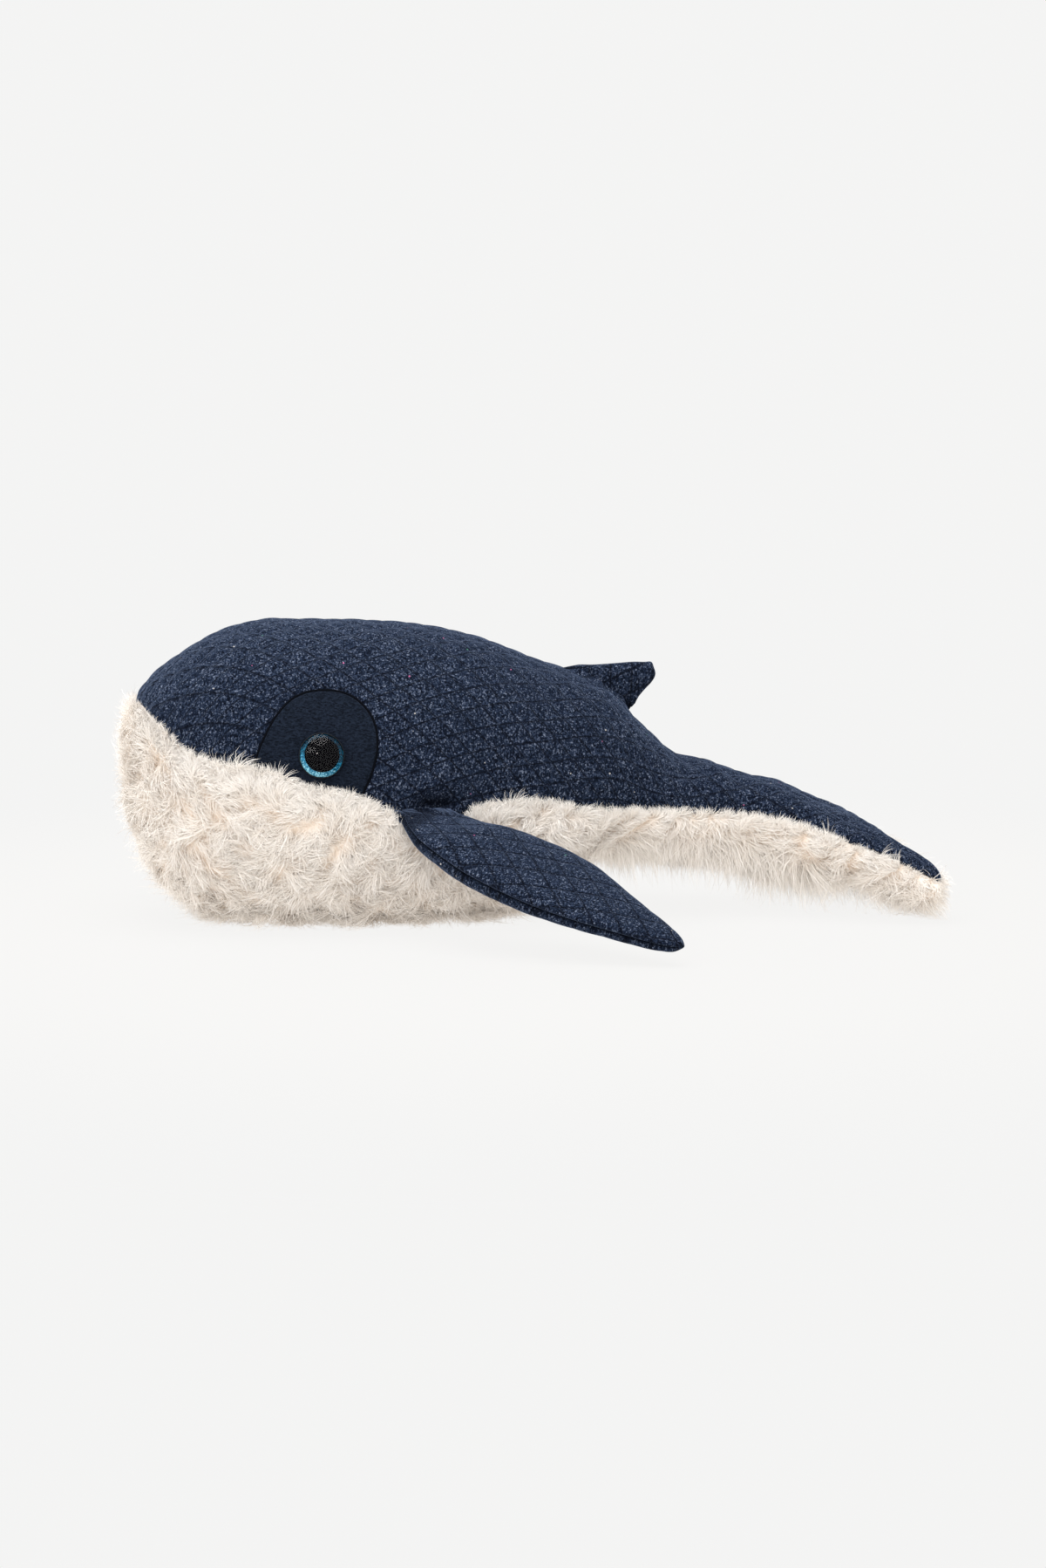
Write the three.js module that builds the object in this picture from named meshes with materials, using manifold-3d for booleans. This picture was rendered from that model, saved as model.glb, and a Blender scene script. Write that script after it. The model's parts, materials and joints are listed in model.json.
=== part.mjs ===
// A stuffed plush whale, built from its sewn panels, its filling and its two safety eyes.
// Millimetres. +X runs from the nose to the tail, the left side faces -Y, and +Z is up.
import * as THREE from 'three';
import { mergeVertices } from 'three/addons/utils/BufferGeometryUtils.js';
import Module from 'manifold-3d';

// Body
const trunkLength = 402;
const bodyWidth = 184;
const bodyHeight = 207;

// Cloth, pile and seams
const clothThickness = 4;
const finClothThickness = 3;
const pileThickness = 13.5;
const floorCut = 0.5;
const seamGap = 0.3;

// Tail flukes
const flukeLength = 139;
const flukeSpan = 156;
const flukeDrop = 37;
const flukeCurl = 8;
const tailPivotRadius = 24;
const tailLiftAngle = 18;
const tailLowerAngle = 18;

// Pectoral fins
const finLength = 198;
const finWidth = 60;
const finThickness = 18;
const finSweepAngle = 53;
const finDroopAngle = 20;

// Dorsal fin
const dorsalHeight = 31;
const dorsalLength = 56;
const dorsalThickness = 9;

// Depth that a fin's rounded root sinks into the body's skin
const rootInset = 1.5;

// Eyes
const eyeRadius = 15;
const eyeRimWidth = 0.8;
const eyeBackHeight = 2.4;
const eyeSeatDepth = 2;
const eyeLipHeight = 1.2;
const eyeDomeHeight = 6.4;
const glitterThickness = 0.5;
const pupilRadius = 11.3;
const pupilThickness = 0.8;
const shankRadius = 3;
const shankLength = 17;
const washerRadius = 11;
const washerThickness = 2;
const washerInset = 1.2;

// Eye patches
const patchWidth = 74;
const patchHeight = 84;
const patchLean = 6;

// Finishes, with the colours of the cloth, pile, filling and plastics
const finishes = {
  quilted: { color: 0x3a475c, roughness: 0.95, metalness: 0 },
  plain: { color: 0x202a38, roughness: 0.9, metalness: 0 },
  pile: { color: 0xe6dacf, roughness: 1, metalness: 0 },
  filling: { color: 0xf2f0ea, roughness: 1, metalness: 0 },
  clear: { color: 0xcfd8dc, roughness: 0.05, metalness: 0 },
  pupil: { color: 0x050507, roughness: 0.1, metalness: 0 },
  glitter: { color: 0x2f7f9e, roughness: 0.4, metalness: 0.6 },
  plastic: { color: 0x0d0e12, roughness: 0.35, metalness: 0 },
};

const halfTurn = Math.PI;
const quarterTurn = halfTurn / 2;
const axisX = new THREE.Vector3(1, 0, 0);
const axisY = new THREE.Vector3(0, 1, 0);
const axisZ = new THREE.Vector3(0, 0, 1);
const mergeShare = 1e-7;
const radians = THREE.MathUtils.degToRad;
const wasm = await Module();
wasm.setup();

// Ribs of the trunk from the nose to the tail, as shares: place along trunkLength, seam height of
// bodyHeight, half width of bodyWidth, rise above the seam of bodyHeight, and the belly's lift of
// bodyHeight over the stretch that lies flat.
const trunkRibShares = [
  [0, 0.715, 0, 0, 0.65],
  [0.022, 0.662, 0.222, 0.133, 0.298],
  [0.065, 0.609, 0.337, 0.254, 0.121],
  [0.134, 0.565, 0.432, 0.373, 0.029],
  [0.209, 0.527, 0.48, 0.45, 0],
  [0.303, 0.454, 0.5, 0.523, 0],
  [0.403, 0.382, 0.489, 0.589, 0],
  [0.498, 0.367, 0.462, 0.588, 0],
  [0.587, 0.386, 0.418, 0.527, 0.005],
  [0.677, 0.391, 0.375, 0.452, 0.068],
  [0.751, 0.382, 0.332, 0.411, 0.193],
  [0.811, 0.374, 0.293, 0.353, 0.222],
  [0.866, 0.367, 0.261, 0.246, 0.222],
  [0.925, 0.358, 0.226, 0.168, 0.208],
  [1, 0.353, 0.19, 0.121, 0.198],
];

// Powers that square the round sections off, and that thin the pile towards its seam. The nose is round
// ahead of noseRib.
const upperRoundShare = 2 / 2.15;
const lowerRoundShare = 2 / 2.5;
const pileEdgeShare = 0.8;
const noseRib = 3;

// Ribs of one fluke from its root to its tip, as shares: place of the outer edge along flukeLength and
// its way from the trunk's half width to half of flukeSpan, place of the inner edge along and out,
// height above and depth below the seam of those at the trunk's end, and the fall of flukeDrop.
const flukeRibShares = [
  [0, 0, 0, 0, 1, 1, 0],
  [0.15, 0.07, 0.15, 0, 0.81, 1.05, 0.03],
  [0.31, 0.24, 0.31, 0, 0.63, 1.1, 0.1],
  [0.47, 0.46, 0.47, 0, 0.42, 1.03, 0.24],
  [0.63, 0.68, 0.63, 0, 0.33, 0.88, 0.4],
  [0.78, 0.86, 0.735, 0.23, 0.27, 0.72, 0.59],
  [0.9, 0.97, 0.83, 0.49, 0.25, 0.55, 0.78],
  [0.97, 0.995, 0.92, 0.74, 0.22, 0.36, 0.92],
  [1, 0.94, 1, 0.94, 0, 0, 1],
];
const notchRib = 4;
const flukeTip = flukeRibShares.length - 1;

// The skin closes over a fluke's tip past this share of its ribs, and a fluke's root reaches this share
// of tailPivotRadius ahead of the pivot.
const flukeClosingShare = 0.75;
const flukeRootShare = 1.5;

// Ribs of a pectoral fin from past its sewn root to its tip, as shares: leading edge along finLength and
// across finWidth, trailing edge along and across, and half thickness of finThickness.
const finRibShares = [
  [0.04, 0.46, 0.19, -0.28, 0.45],
  [0.17, 0.58, 0.31, -0.37, 0.5],
  [0.31, 0.64, 0.44, -0.44, 0.5],
  [0.5, 0.61, 0.57, -0.45, 0.46],
  [0.66, 0.5, 0.7, -0.4, 0.4],
  [0.81, 0.34, 0.83, -0.31, 0.33],
  [0.93, 0.2, 0.935, -0.22, 0.24],
  [0.985, 0.1, 0.985, -0.11, 0.14],
  [1, 0, 1, 0, 0],
];

// The same for the dorsal fin, with dorsalHeight, dorsalLength and dorsalThickness.
const dorsalRibShares = [
  [0.25, 0.25, 0.25, -0.495, 0.4],
  [0.5, 0, 0.5, -0.5, 0.42],
  [0.72, -0.21, 0.73, -0.515, 0.38],
  [0.9, -0.36, 0.9, -0.53, 0.28],
  [1, -0.46, 1, -0.46, 0],
];

// Half thickness of a fin's root, the power that rounds its section and the one that closes its tip
const rootThicknessShare = 0.33;
const finRoundShare = 0.9;
const finTipPower = 8;

// Where the sewn-on parts sit: rib number along the trunk, and turn from the seam towards the spine
const eyeSeat = { rib: 4.96, turn: 13.5 };
const finSeat = { front: 6.28, rear: 7.4, turn: 1.5 };
const dorsalSeat = { front: 9.62, rear: 11.65, turn: 90 };

// Steps of the surfaces
const trunkSteps = 18;
const noseCrowding = 1.2;
const aroundSteps = 7;
const tipSteps = 8;
const flukeAcrossSteps = 5;
const finSteps = 11;
const finAcrossSteps = 6;
const dorsalSteps = 6;
const dorsalAcrossSteps = 4;
const roundSteps = 20;
const lensSteps = 5;

function smooth(table, at, mirroredColumns = []) {
  // Reads a table of ribs at a place between its rows, on a curve that passes through every row.
  const last = table.length - 1;
  const row = Math.min(Math.max(Math.floor(at), 0), last - 1);
  const step = at - row;
  const before = (column) => {
    if (row > 0) return table[row - 1][column];
    if (mirroredColumns.includes(column)) return 2 * table[0][column] - table[1][column];
    return table[1][column];
  };
  const after = (column) => {
    if (row + 2 <= last) return table[row + 2][column];
    return 2 * table[last][column] - table[last - 1][column];
  };
  return table[0].map((_, column) => {
    const [a, b, c, d] = [before(column), table[row][column], table[row + 1][column], after(column)];
    const bend = (2 * a - 5 * b + 4 * c - d) * step * step + (3 * b - a - 3 * c + d) * step ** 3;
    return b + 0.5 * ((c - a) * step + bend);
  });
}

function signedPower(value, power) {
  return Math.sign(value) * Math.abs(value) ** power;
}

function trunkRib(rib) {
  const [along, seam, half, rise, lift] = smooth(trunkRibShares, rib, [2, 3]);
  const bellyHeight = pileThickness - floorCut + lift * bodyHeight;
  return {
    x: along * trunkLength,
    seam: seam * bodyHeight,
    half: half * bodyWidth,
    rise: rise * bodyHeight,
    depth: Math.max(seam * bodyHeight - bellyHeight, 0) * Math.sqrt(Math.min(rib, 1)),
  };
}

function trunkPoint(rib, turn, cover, coverBelow = cover) {
  // A point on the trunk at an angle of turn: 0 at the left seam, a quarter turn at the spine.
  // cover is the thickness of what lies over the filling there.
  const { x, seam, half, rise, depth } = trunkRib(rib);
  const ahead = Math.max(1 - rib / noseRib, 0) ** 2;
  const around = Math.sqrt(1 - ahead);
  const sine = Math.sin(turn);
  const cosine = Math.cos(turn);
  const below = sine < 0;
  const thicker = Math.abs(below ? sine : 0) ** pileEdgeShare * (1 - ahead ** 2);
  const skin = cover + (coverBelow - cover) * thicker;
  const power = below ? lowerRoundShare : upperRoundShare;
  return new THREE.Vector3(
    x - skin * ahead,
    -(half + skin * around) * signedPower(cosine, power),
    seam + ((below ? depth : rise) + skin * around) * signedPower(sine, power),
  );
}

const lastRib = trunkRibShares.length - 1;
const trunkEnd = trunkRib(lastRib);
const tailPivot = new THREE.Vector3(trunkEnd.x, 0, trunkEnd.seam);

function flukePoint(rib, across, side, level, cover, coverBelow = cover) {
  // A point on one fluke. across runs from the outer edge to the middle or the inner edge, level is 1
  // for the top face and -1 for the underside. Ribs under 0 lie ahead of the pivot.
  const at = Math.max(rib, 0);
  const shares = smooth(flukeRibShares, at);
  const halfSpan = flukeSpan / 2;
  const reach = (share) => trunkEnd.half + (halfSpan - trunkEnd.half) * share;
  const split = Math.max(at - notchRib, 0) / (flukeTip - notchRib);
  const edgeTurn = quarterTurn * (at / flukeTip) ** 3;
  const outer = [
    shares[0] * flukeLength + cover * Math.sin(edgeTurn),
    reach(shares[1]) + cover * Math.cos(edgeTurn),
  ];
  const inner = [
    shares[2] * flukeLength + cover * Math.min(at / notchRib, 1) ** 2,
    split > 0 ? Math.max(shares[3] * halfSpan, 0) : 0,
  ];
  if (rib >= flukeTip) inner[1] = outer[1];
  const open = THREE.MathUtils.smoothstep(notchRib - at, 0, notchRib - 1);
  const lastTurn = halfTurn * (1 - open / 2);
  const turn = lastTurn * across;
  const power = level > 0 ? upperRoundShare : lowerRoundShare;
  const place = (1 - signedPower(Math.cos(turn), power)) / (1 - signedPower(Math.cos(lastTurn), power));
  const pastClosing = Math.max(at / flukeTip - flukeClosingShare, 0) / (1 - flukeClosingShare);
  const closing = Math.sqrt(1 - pastClosing ** 2);
  const skin = level > 0 ? cover : cover + (coverBelow - cover) * Math.sin(turn) ** pileEdgeShare;
  const height = level > 0 ? shares[4] * trunkEnd.rise : shares[5] * trunkEnd.depth;
  const x = outer[0] + (inner[0] - outer[0]) * place + Math.min(rib, 0) * tailPivotRadius * flukeRootShare;
  const y = outer[1] + (inner[1] - outer[1]) * place;
  const fall = shares[6] * flukeDrop + flukeCurl * (y / halfSpan) ** 2 * Math.min(at, 1);
  return new THREE.Vector3(
    tailPivot.x + x,
    side * y,
    tailPivot.z - fall + level * (Math.max(height, 0) + skin * closing) * Math.sin(turn) ** power,
  );
}

function seatOf(seat, rootRadius) {
  // The root line of a fin along the trunk's skin, raised so that its round root sinks in by rootInset.
  const skin = (rib, cover) => trunkPoint(rib, radians(seat.turn), cover);
  const middleRib = (seat.front + seat.rear) / 2;
  const out = skin(middleRib, clothThickness).sub(skin(middleRib, 0)).normalize();
  const front = skin(seat.front, clothThickness).addScaledVector(out, rootRadius - rootInset);
  const rear = skin(seat.rear, clothThickness).addScaledVector(out, rootRadius - rootInset);
  return {
    middle: front.clone().add(rear).multiplyScalar(0.5),
    rearward: rear.clone().sub(front).normalize(),
    halfLength: front.distanceTo(rear) / 2,
  };
}

function leafFrom({ seat, shares, length, width, thickness, steps, acrossSteps, direction }) {
  // A fin's frame and its ribs in real sizes, the first of them on the root line.
  const rootHalf = rootThicknessShare * thickness;
  const rootRadius = rootHalf + finClothThickness + seamGap / 2;
  const { middle, rearward, halfLength } = seatOf(seat, rootRadius);
  const along = direction(rearward);
  const up = along.clone().cross(rearward).normalize();
  const leading = along.clone().cross(up).normalize();
  const inward = rearward.clone().cross(up).normalize();
  if (inward.dot(along) > 0) inward.negate();
  const [rootAlong, rootAcross] = [rearward.dot(along) * halfLength, rearward.dot(leading) * halfLength];
  const ribs = [
    [-rootAlong, -rootAcross, rootAlong, rootAcross, rootHalf],
    ...shares.map(([leadAlong, leadAcross, trailAlong, trailAcross, half]) => [
      leadAlong * length, leadAcross * width, trailAlong * length, trailAcross * width, half * thickness,
    ]),
  ];
  return { middle, rearward, halfLength, along, up, leading, inward, ribs, rootRadius, steps, acrossSteps };
}

function leafPoint(leaf, rib, across, level, cover) {
  // A point on a fin. Ribs under 0 are its rounded root, and level is 1 for the upper panel.
  const at = Math.max(rib, 0);
  const [leadAlong, leadAcross, trailAlong, trailAcross, thick] = smooth(leaf.ribs, at);
  const nearTip = (at / (leaf.ribs.length - 1)) ** finTipPower;
  const closing = Math.sqrt(Math.max(1 - nearTip, 0));
  const edge = cover * Math.min(at, 1) * closing;
  const turn = halfTurn * across;
  const place = (1 - Math.cos(turn)) / 2;
  const rootTurn = quarterTurn * Math.min(rib, 0);
  const half = Math.max(thick, 0) + cover * closing;
  const height = half * Math.cos(rootTurn) * Math.max(Math.sin(turn), 0) ** finRoundShare;
  const along = leadAlong + (trailAlong - leadAlong) * place + cover * nearTip;
  const sideways = leadAcross + edge + (trailAcross - leadAcross - 2 * edge) * place;
  return leaf.middle.clone()
    .addScaledVector(leaf.along, along)
    .addScaledVector(leaf.leading, sideways)
    .addScaledVector(leaf.up, level * height)
    .addScaledVector(leaf.inward, -half * Math.sin(rootTurn));
}

// Grids of points, closed bodies made from them, and cuts

function spaced(from, to, steps, crowding = 1) {
  // Even steps, or closer ones near the start where crowding is above 1.
  return Array.from({ length: steps + 1 }, (_, i) => from + (to - from) * (i / steps) ** crowding);
}

function grid(point, rows, columns) {
  return rows.map((row) => columns.map((column) => point(row, column)));
}

function bodyBetween(outer, inner, { reverse = false, endWall = () => true } = {}) {
  // Faces of the body between two grids of the same size, with walls along its four edges.
  // endWall(i) says whether the wall along the last column is there at row i.
  const quads = [];
  const [lastRow, lastColumn] = [outer.length - 1, outer[0].length - 1];
  for (let i = 0; i < lastRow; i += 1) {
    for (let j = 0; j < lastColumn; j += 1) {
      quads.push([outer[i][j], outer[i + 1][j], outer[i + 1][j + 1], outer[i][j + 1]]);
      quads.push([inner[i][j], inner[i][j + 1], inner[i + 1][j + 1], inner[i + 1][j]]);
    }
    quads.push([outer[i + 1][0], outer[i][0], inner[i][0], inner[i + 1][0]]);
    if (endWall(i)) {
      quads.push([
        outer[i][lastColumn], outer[i + 1][lastColumn], inner[i + 1][lastColumn], inner[i][lastColumn],
      ]);
    }
  }
  for (let j = 0; j < lastColumn; j += 1) {
    quads.push([outer[0][j], outer[0][j + 1], inner[0][j + 1], inner[0][j]]);
    quads.push([outer[lastRow][j + 1], outer[lastRow][j], inner[lastRow][j], inner[lastRow][j + 1]]);
  }
  return reverse ? quads.map((quad) => quad.reverse()) : quads;
}

function solidFromGeometry(geometry) {
  const bare = geometry.index ? geometry.toNonIndexed() : geometry.clone();
  bare.deleteAttribute('normal');
  bare.deleteAttribute('uv');
  const merged = mergeVertices(bare, trunkLength * mergeShare);
  const corners = merged.index.array;
  const kept = [];
  for (let i = 0; i < corners.length; i += 3) {
    const [a, b, c] = [corners[i], corners[i + 1], corners[i + 2]];
    if (a !== b && b !== c && c !== a) kept.push(a, b, c);
  }
  const vertProperties = new Float32Array(merged.attributes.position.array);
  const solid = new wasm.Manifold(new wasm.Mesh({
    numProp: 3, vertProperties, triVerts: new Uint32Array(kept),
  }));
  if (solid.volume() > 0) return solid;
  return new wasm.Manifold(new wasm.Mesh({
    numProp: 3, vertProperties, triVerts: new Uint32Array(kept.reverse()),
  }));
}

function solidFromQuads(quads) {
  const positions = [];
  for (const [a, b, c, d] of quads) {
    const split = a.distanceTo(c) < b.distanceTo(d) ? [a, b, c, a, c, d] : [b, c, d, b, d, a];
    for (const corner of split) positions.push(corner.x, corner.y, corner.z);
  }
  const geometry = new THREE.BufferGeometry();
  geometry.setAttribute('position', new THREE.Float32BufferAttribute(positions, 3));
  return solidFromGeometry(geometry);
}

function placed(geometry, origin, xAxis, yAxis, zAxis) {
  const turn = new THREE.Matrix4().makeBasis(xAxis, yAxis, zAxis);
  return solidFromGeometry(geometry.clone().applyMatrix4(turn.setPosition(origin)));
}

function around(radius) {
  // The radius of a rod's corners whose flats just clear a circle of this radius.
  return radius / Math.cos(halfTurn / roundSteps);
}

function rod(origin, direction, radius, from, to) {
  // A round rod along a direction, from one distance to another.
  const cylinder = new THREE.CylinderGeometry(radius, radius, to - from, roundSteps);
  cylinder.translate(0, (from + to) / 2, 0);
  cylinder.applyQuaternion(new THREE.Quaternion().setFromUnitVectors(axisY, direction));
  return solidFromGeometry(cylinder.translate(origin.x, origin.y, origin.z));
}

function turned(points, seat) {
  // A lathe of radius and height pairs about the eye's axis.
  const profile = points.map(([radius, height]) => new THREE.Vector2(radius, height));
  const lathe = new THREE.LatheGeometry(profile, roundSteps);
  lathe.rotateX(quarterTurn);
  return placed(lathe, seat.origin, seat.xAxis, seat.yAxis, seat.out);
}

const group = new THREE.Group();
group.name = 'plush_whale';

function add(name, solid, finish) {
  const { vertProperties, triVerts } = solid.getMesh();
  const geometry = new THREE.BufferGeometry();
  geometry.setAttribute('position', new THREE.BufferAttribute(new Float32Array(vertProperties), 3));
  geometry.setIndex(new THREE.BufferAttribute(new Uint32Array(triVerts), 1));
  geometry.computeVertexNormals();
  const mesh = new THREE.Mesh(geometry, new THREE.MeshStandardMaterial(finishes[finish]));
  mesh.name = name;
  group.add(mesh);
}

const halfGap = seamGap / 2;
const sides = [
  { name: 'left', y: -1 },
  { name: 'right', y: 1 },
];
const shifted = (point, y, z) => point.add(new THREE.Vector3(0, y, z));
const mirrored = (solid, side) => (side.y < 0 ? solid : solid.mirror([0, 1, 0]));

// Trunk: the filling, two quilted back panels and the pile panel of the jaw and belly

const trunkRows = spaced(0, lastRib, trunkSteps, noseCrowding);
const halfRound = spaced(0, halfTurn, 2 * aroundSteps);

function trunkSolid(cover) {
  const upper = grid((rib, turn) => trunkPoint(rib, turn, cover), trunkRows, halfRound);
  const lower = grid((rib, turn) => trunkPoint(rib, -turn, cover), trunkRows, halfRound);
  return solidFromQuads(bodyBetween(upper, lower));
}

function backPanel() {
  const face = (cover) => grid((rib, turn) => shifted(trunkPoint(rib, turn, cover), -halfGap, halfGap),
    trunkRows, spaced(0, quarterTurn, aroundSteps));
  return solidFromQuads(bodyBetween(face(clothThickness), face(seamGap)));
}

function bellyPanel() {
  const face = (cover, below) => grid(
    (rib, turn) => shifted(trunkPoint(rib, -turn, cover, below), 0, -halfGap), trunkRows, halfRound);
  const panel = solidFromQuads(bodyBetween(face(clothThickness, pileThickness), face(seamGap, seamGap)));
  const floor = new THREE.BoxGeometry(2 * trunkLength, 2 * bodyWidth, bodyHeight);
  floor.translate(0, 0, -bodyHeight / 2);
  return panel.subtract(solidFromGeometry(floor));
}

// Tail: the trunk ends in a hollow and the flukes in a round root about the same line

function tailRoot(radius) {
  return rod(tailPivot, axisY, radius, -bodyWidth, bodyWidth);
}

function tailSide(leanTop, leanBottom) {
  // Everything behind the pivot line, leaning forward over it at the top and the bottom.
  const far = bodyHeight;
  const outline = new THREE.Shape([
    new THREE.Vector2(0, 0),
    new THREE.Vector2(-far * Math.tan(radians(leanTop)), far),
    new THREE.Vector2(flukeLength * 2, far),
    new THREE.Vector2(flukeLength * 2, -far),
    new THREE.Vector2(-far * Math.tan(radians(leanBottom)), -far),
  ]);
  const wedge = new THREE.ExtrudeGeometry(outline, { depth: 2 * bodyWidth, bevelEnabled: false });
  wedge.translate(0, 0, -bodyWidth);
  return placed(wedge, tailPivot, axisX, axisZ, axisY.clone().negate());
}

const tailSpace = tailSide(tailLiftAngle, tailLowerAngle).add(tailRoot(around(tailPivotRadius + seamGap)));
const flukeSpace = tailSide(0, 0).add(tailRoot(tailPivotRadius));

const flukeRows = [...spaced(-1, notchRib, notchRib + 1), ...spaced(notchRib, flukeTip, tipSteps).slice(1)];

function flukeBody(outerFace, innerFace) {
  const quads = [];
  for (const side of sides) {
    const rows = (face) => grid((rib, place) => face(rib, place, side.y), flukeRows,
      spaced(0, 1, flukeAcrossSteps));
    quads.push(...bodyBetween(rows(outerFace), rows(innerFace), {
      reverse: side.y > 0,
      endWall: (row) => flukeRows[row] >= notchRib,
    }));
  }
  return solidFromQuads(quads).intersect(flukeSpace);
}

add('fluke_stuffing', flukeBody(
  (rib, place, side) => flukePoint(rib, place, side, 1, 0),
  (rib, place, side) => flukePoint(rib, place, side, -1, 0),
), 'filling');
add('fluke_top_panel', flukeBody(
  (rib, place, side) => shifted(flukePoint(rib, place, side, 1, clothThickness), 0, halfGap),
  (rib, place, side) => shifted(flukePoint(rib, place, side, 1, seamGap), 0, halfGap),
), 'quilted');
add('fluke_under_panel', flukeBody(
  (rib, place, side) => shifted(
    flukePoint(rib, place, side, -1, clothThickness, pileThickness), 0, -halfGap),
  (rib, place, side) => shifted(flukePoint(rib, place, side, -1, seamGap), 0, -halfGap),
), 'pile');

// Fins: two panels over a filling, each round at its root line

const sweep = radians(finSweepAngle);
const droop = radians(finDroopAngle);
const finDirection = new THREE.Vector3(
  Math.sin(sweep) * Math.cos(droop),
  -Math.cos(sweep) * Math.cos(droop),
  -Math.sin(droop),
);
const pectoral = leafFrom({
  seat: finSeat,
  shares: finRibShares,
  length: finLength,
  width: finWidth,
  thickness: finThickness,
  steps: finSteps,
  acrossSteps: finAcrossSteps,
  direction: () => finDirection,
});
const dorsal = leafFrom({
  seat: dorsalSeat,
  shares: dorsalRibShares,
  length: dorsalHeight,
  width: dorsalLength,
  thickness: dorsalThickness,
  steps: dorsalSteps,
  acrossSteps: dorsalAcrossSteps,
  direction: (rearward) => rearward.clone().cross(axisY).normalize(),
});

function leafGrid(leaf, point) {
  return grid(point, spaced(-1, leaf.ribs.length - 1, leaf.steps), spaced(0, 1, leaf.acrossSteps));
}

function leafSolid(leaf) {
  const face = (level) => leafGrid(leaf, (rib, place) => leafPoint(leaf, rib, place, level, 0));
  return solidFromQuads(bodyBetween(face(1), face(-1)));
}

function leafPanel(leaf, level) {
  const lift = leaf.up.clone().multiplyScalar(level * halfGap);
  const face = (cover) => leafGrid(leaf,
    (rib, place) => leafPoint(leaf, rib, place, level, cover).add(lift));
  return solidFromQuads(bodyBetween(face(finClothThickness), face(seamGap)));
}

function rootSocket({ middle, rearward, rootRadius, halfLength }) {
  const end = halfLength + seamGap;
  return rod(middle, rearward, around(rootRadius + seamGap), -end, end);
}

const finSocket = rootSocket(pectoral);
const dorsalSocket = rootSocket(dorsal);

for (const side of sides) {
  const fin = `pectoral_fin_${side.name}`;
  add(`${fin}_stuffing`, mirrored(leafSolid(pectoral), side), 'filling');
  add(`${fin}_upper_panel`, mirrored(leafPanel(pectoral, 1), side), 'quilted');
  add(`${fin}_lower_panel`, mirrored(leafPanel(pectoral, -1), side), 'quilted');
}
add('dorsal_fin_stuffing', leafSolid(dorsal), 'filling');
add('dorsal_fin_left_panel', leafPanel(dorsal, -1), 'quilted');
add('dorsal_fin_right_panel', leafPanel(dorsal, 1), 'quilted');

// Eyes: seated square to the skin, on a shank that a washer holds inside it

function eyeFrame() {
  const turn = radians(eyeSeat.turn);
  const skin = (rib, angle) => trunkPoint(rib, angle, clothThickness);
  const origin = skin(eyeSeat.rib, turn);
  const nudge = radians(1);
  const rearward = skin(eyeSeat.rib + nudge, turn).sub(skin(eyeSeat.rib - nudge, turn)).normalize();
  const upward = skin(eyeSeat.rib, turn + nudge).sub(skin(eyeSeat.rib, turn - nudge)).normalize();
  const out = rearward.clone().cross(upward).normalize();
  return { origin, out, xAxis: rearward, yAxis: out.clone().cross(rearward) };
}

const eye = eyeFrame();
const glitterRadius = eyeRadius - eyeRimWidth - seamGap;
const glitterBase = eyeBackHeight + seamGap;
const lensBase = glitterBase + glitterThickness + seamGap;
const recessRadius = pupilRadius + seamGap;
const recessTop = lensBase + pupilThickness + seamGap;
const boreRadius = shankRadius + seamGap;
const washerTop = -clothThickness - washerInset;

function eyeBack() {
  const cup = turned([
    [0, -eyeSeatDepth],
    [eyeRadius, -eyeSeatDepth],
    [eyeRadius, eyeBackHeight + eyeLipHeight],
    [eyeRadius - eyeRimWidth, eyeBackHeight + eyeLipHeight],
    [eyeRadius - eyeRimWidth, eyeBackHeight],
    [0, eyeBackHeight],
  ], eye);
  const shank = rod(eye.origin, eye.out, shankRadius, -shankLength, eyeBackHeight / 2);
  return cup.subtract(trunkSolid(clothThickness + seamGap)).add(shank);
}

function eyeLens() {
  // A dome of one round arc over a flat back with a recess for the pupil.
  const arcRadius = (glitterRadius ** 2 + eyeDomeHeight ** 2) / (2 * eyeDomeHeight);
  const arcTurn = Math.asin(glitterRadius / arcRadius);
  const profile = [[0, recessTop], [recessRadius, recessTop], [recessRadius, lensBase]];
  for (let i = 0; i <= lensSteps; i += 1) {
    const turn = arcTurn * (1 - i / lensSteps);
    const height = lensBase + eyeDomeHeight - arcRadius * (1 - Math.cos(turn));
    profile.push([i < lensSteps ? arcRadius * Math.sin(turn) : 0, height]);
  }
  return turned(profile, eye);
}

function disc(radius, base, thickness) {
  return turned([[0, base], [radius, base], [radius, base + thickness], [0, base + thickness]], eye);
}

function eyeWasher() {
  const low = washerTop - washerThickness;
  return turned([
    [boreRadius, low],
    [washerRadius, low],
    [washerRadius, washerTop],
    [boreRadius, washerTop],
    [boreRadius, low],
  ], eye);
}

function patchPrism(grow) {
  const outline = new THREE.Shape();
  for (let i = 0; i < roundSteps; i += 1) {
    const turn = 2 * halfTurn * i / roundSteps;
    const lean = patchLean * Math.max(Math.sin(turn), 0);
    const rearward = (patchWidth / 2 + grow) * Math.cos(turn) + lean;
    const upward = (patchHeight / 2 + grow) * Math.sin(turn);
    if (i === 0) outline.moveTo(rearward, upward);
    else outline.lineTo(rearward, upward);
  }
  const prism = new THREE.ExtrudeGeometry(outline, { depth: bodyWidth, bevelEnabled: false });
  const origin = new THREE.Vector3(eye.origin.x, 0, eye.origin.z);
  return placed(prism, origin, axisX, axisZ, axisY.clone().negate());
}

// The trunk's pieces, cut for the tail's and the fins' roots, the patches and the eyes

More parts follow.
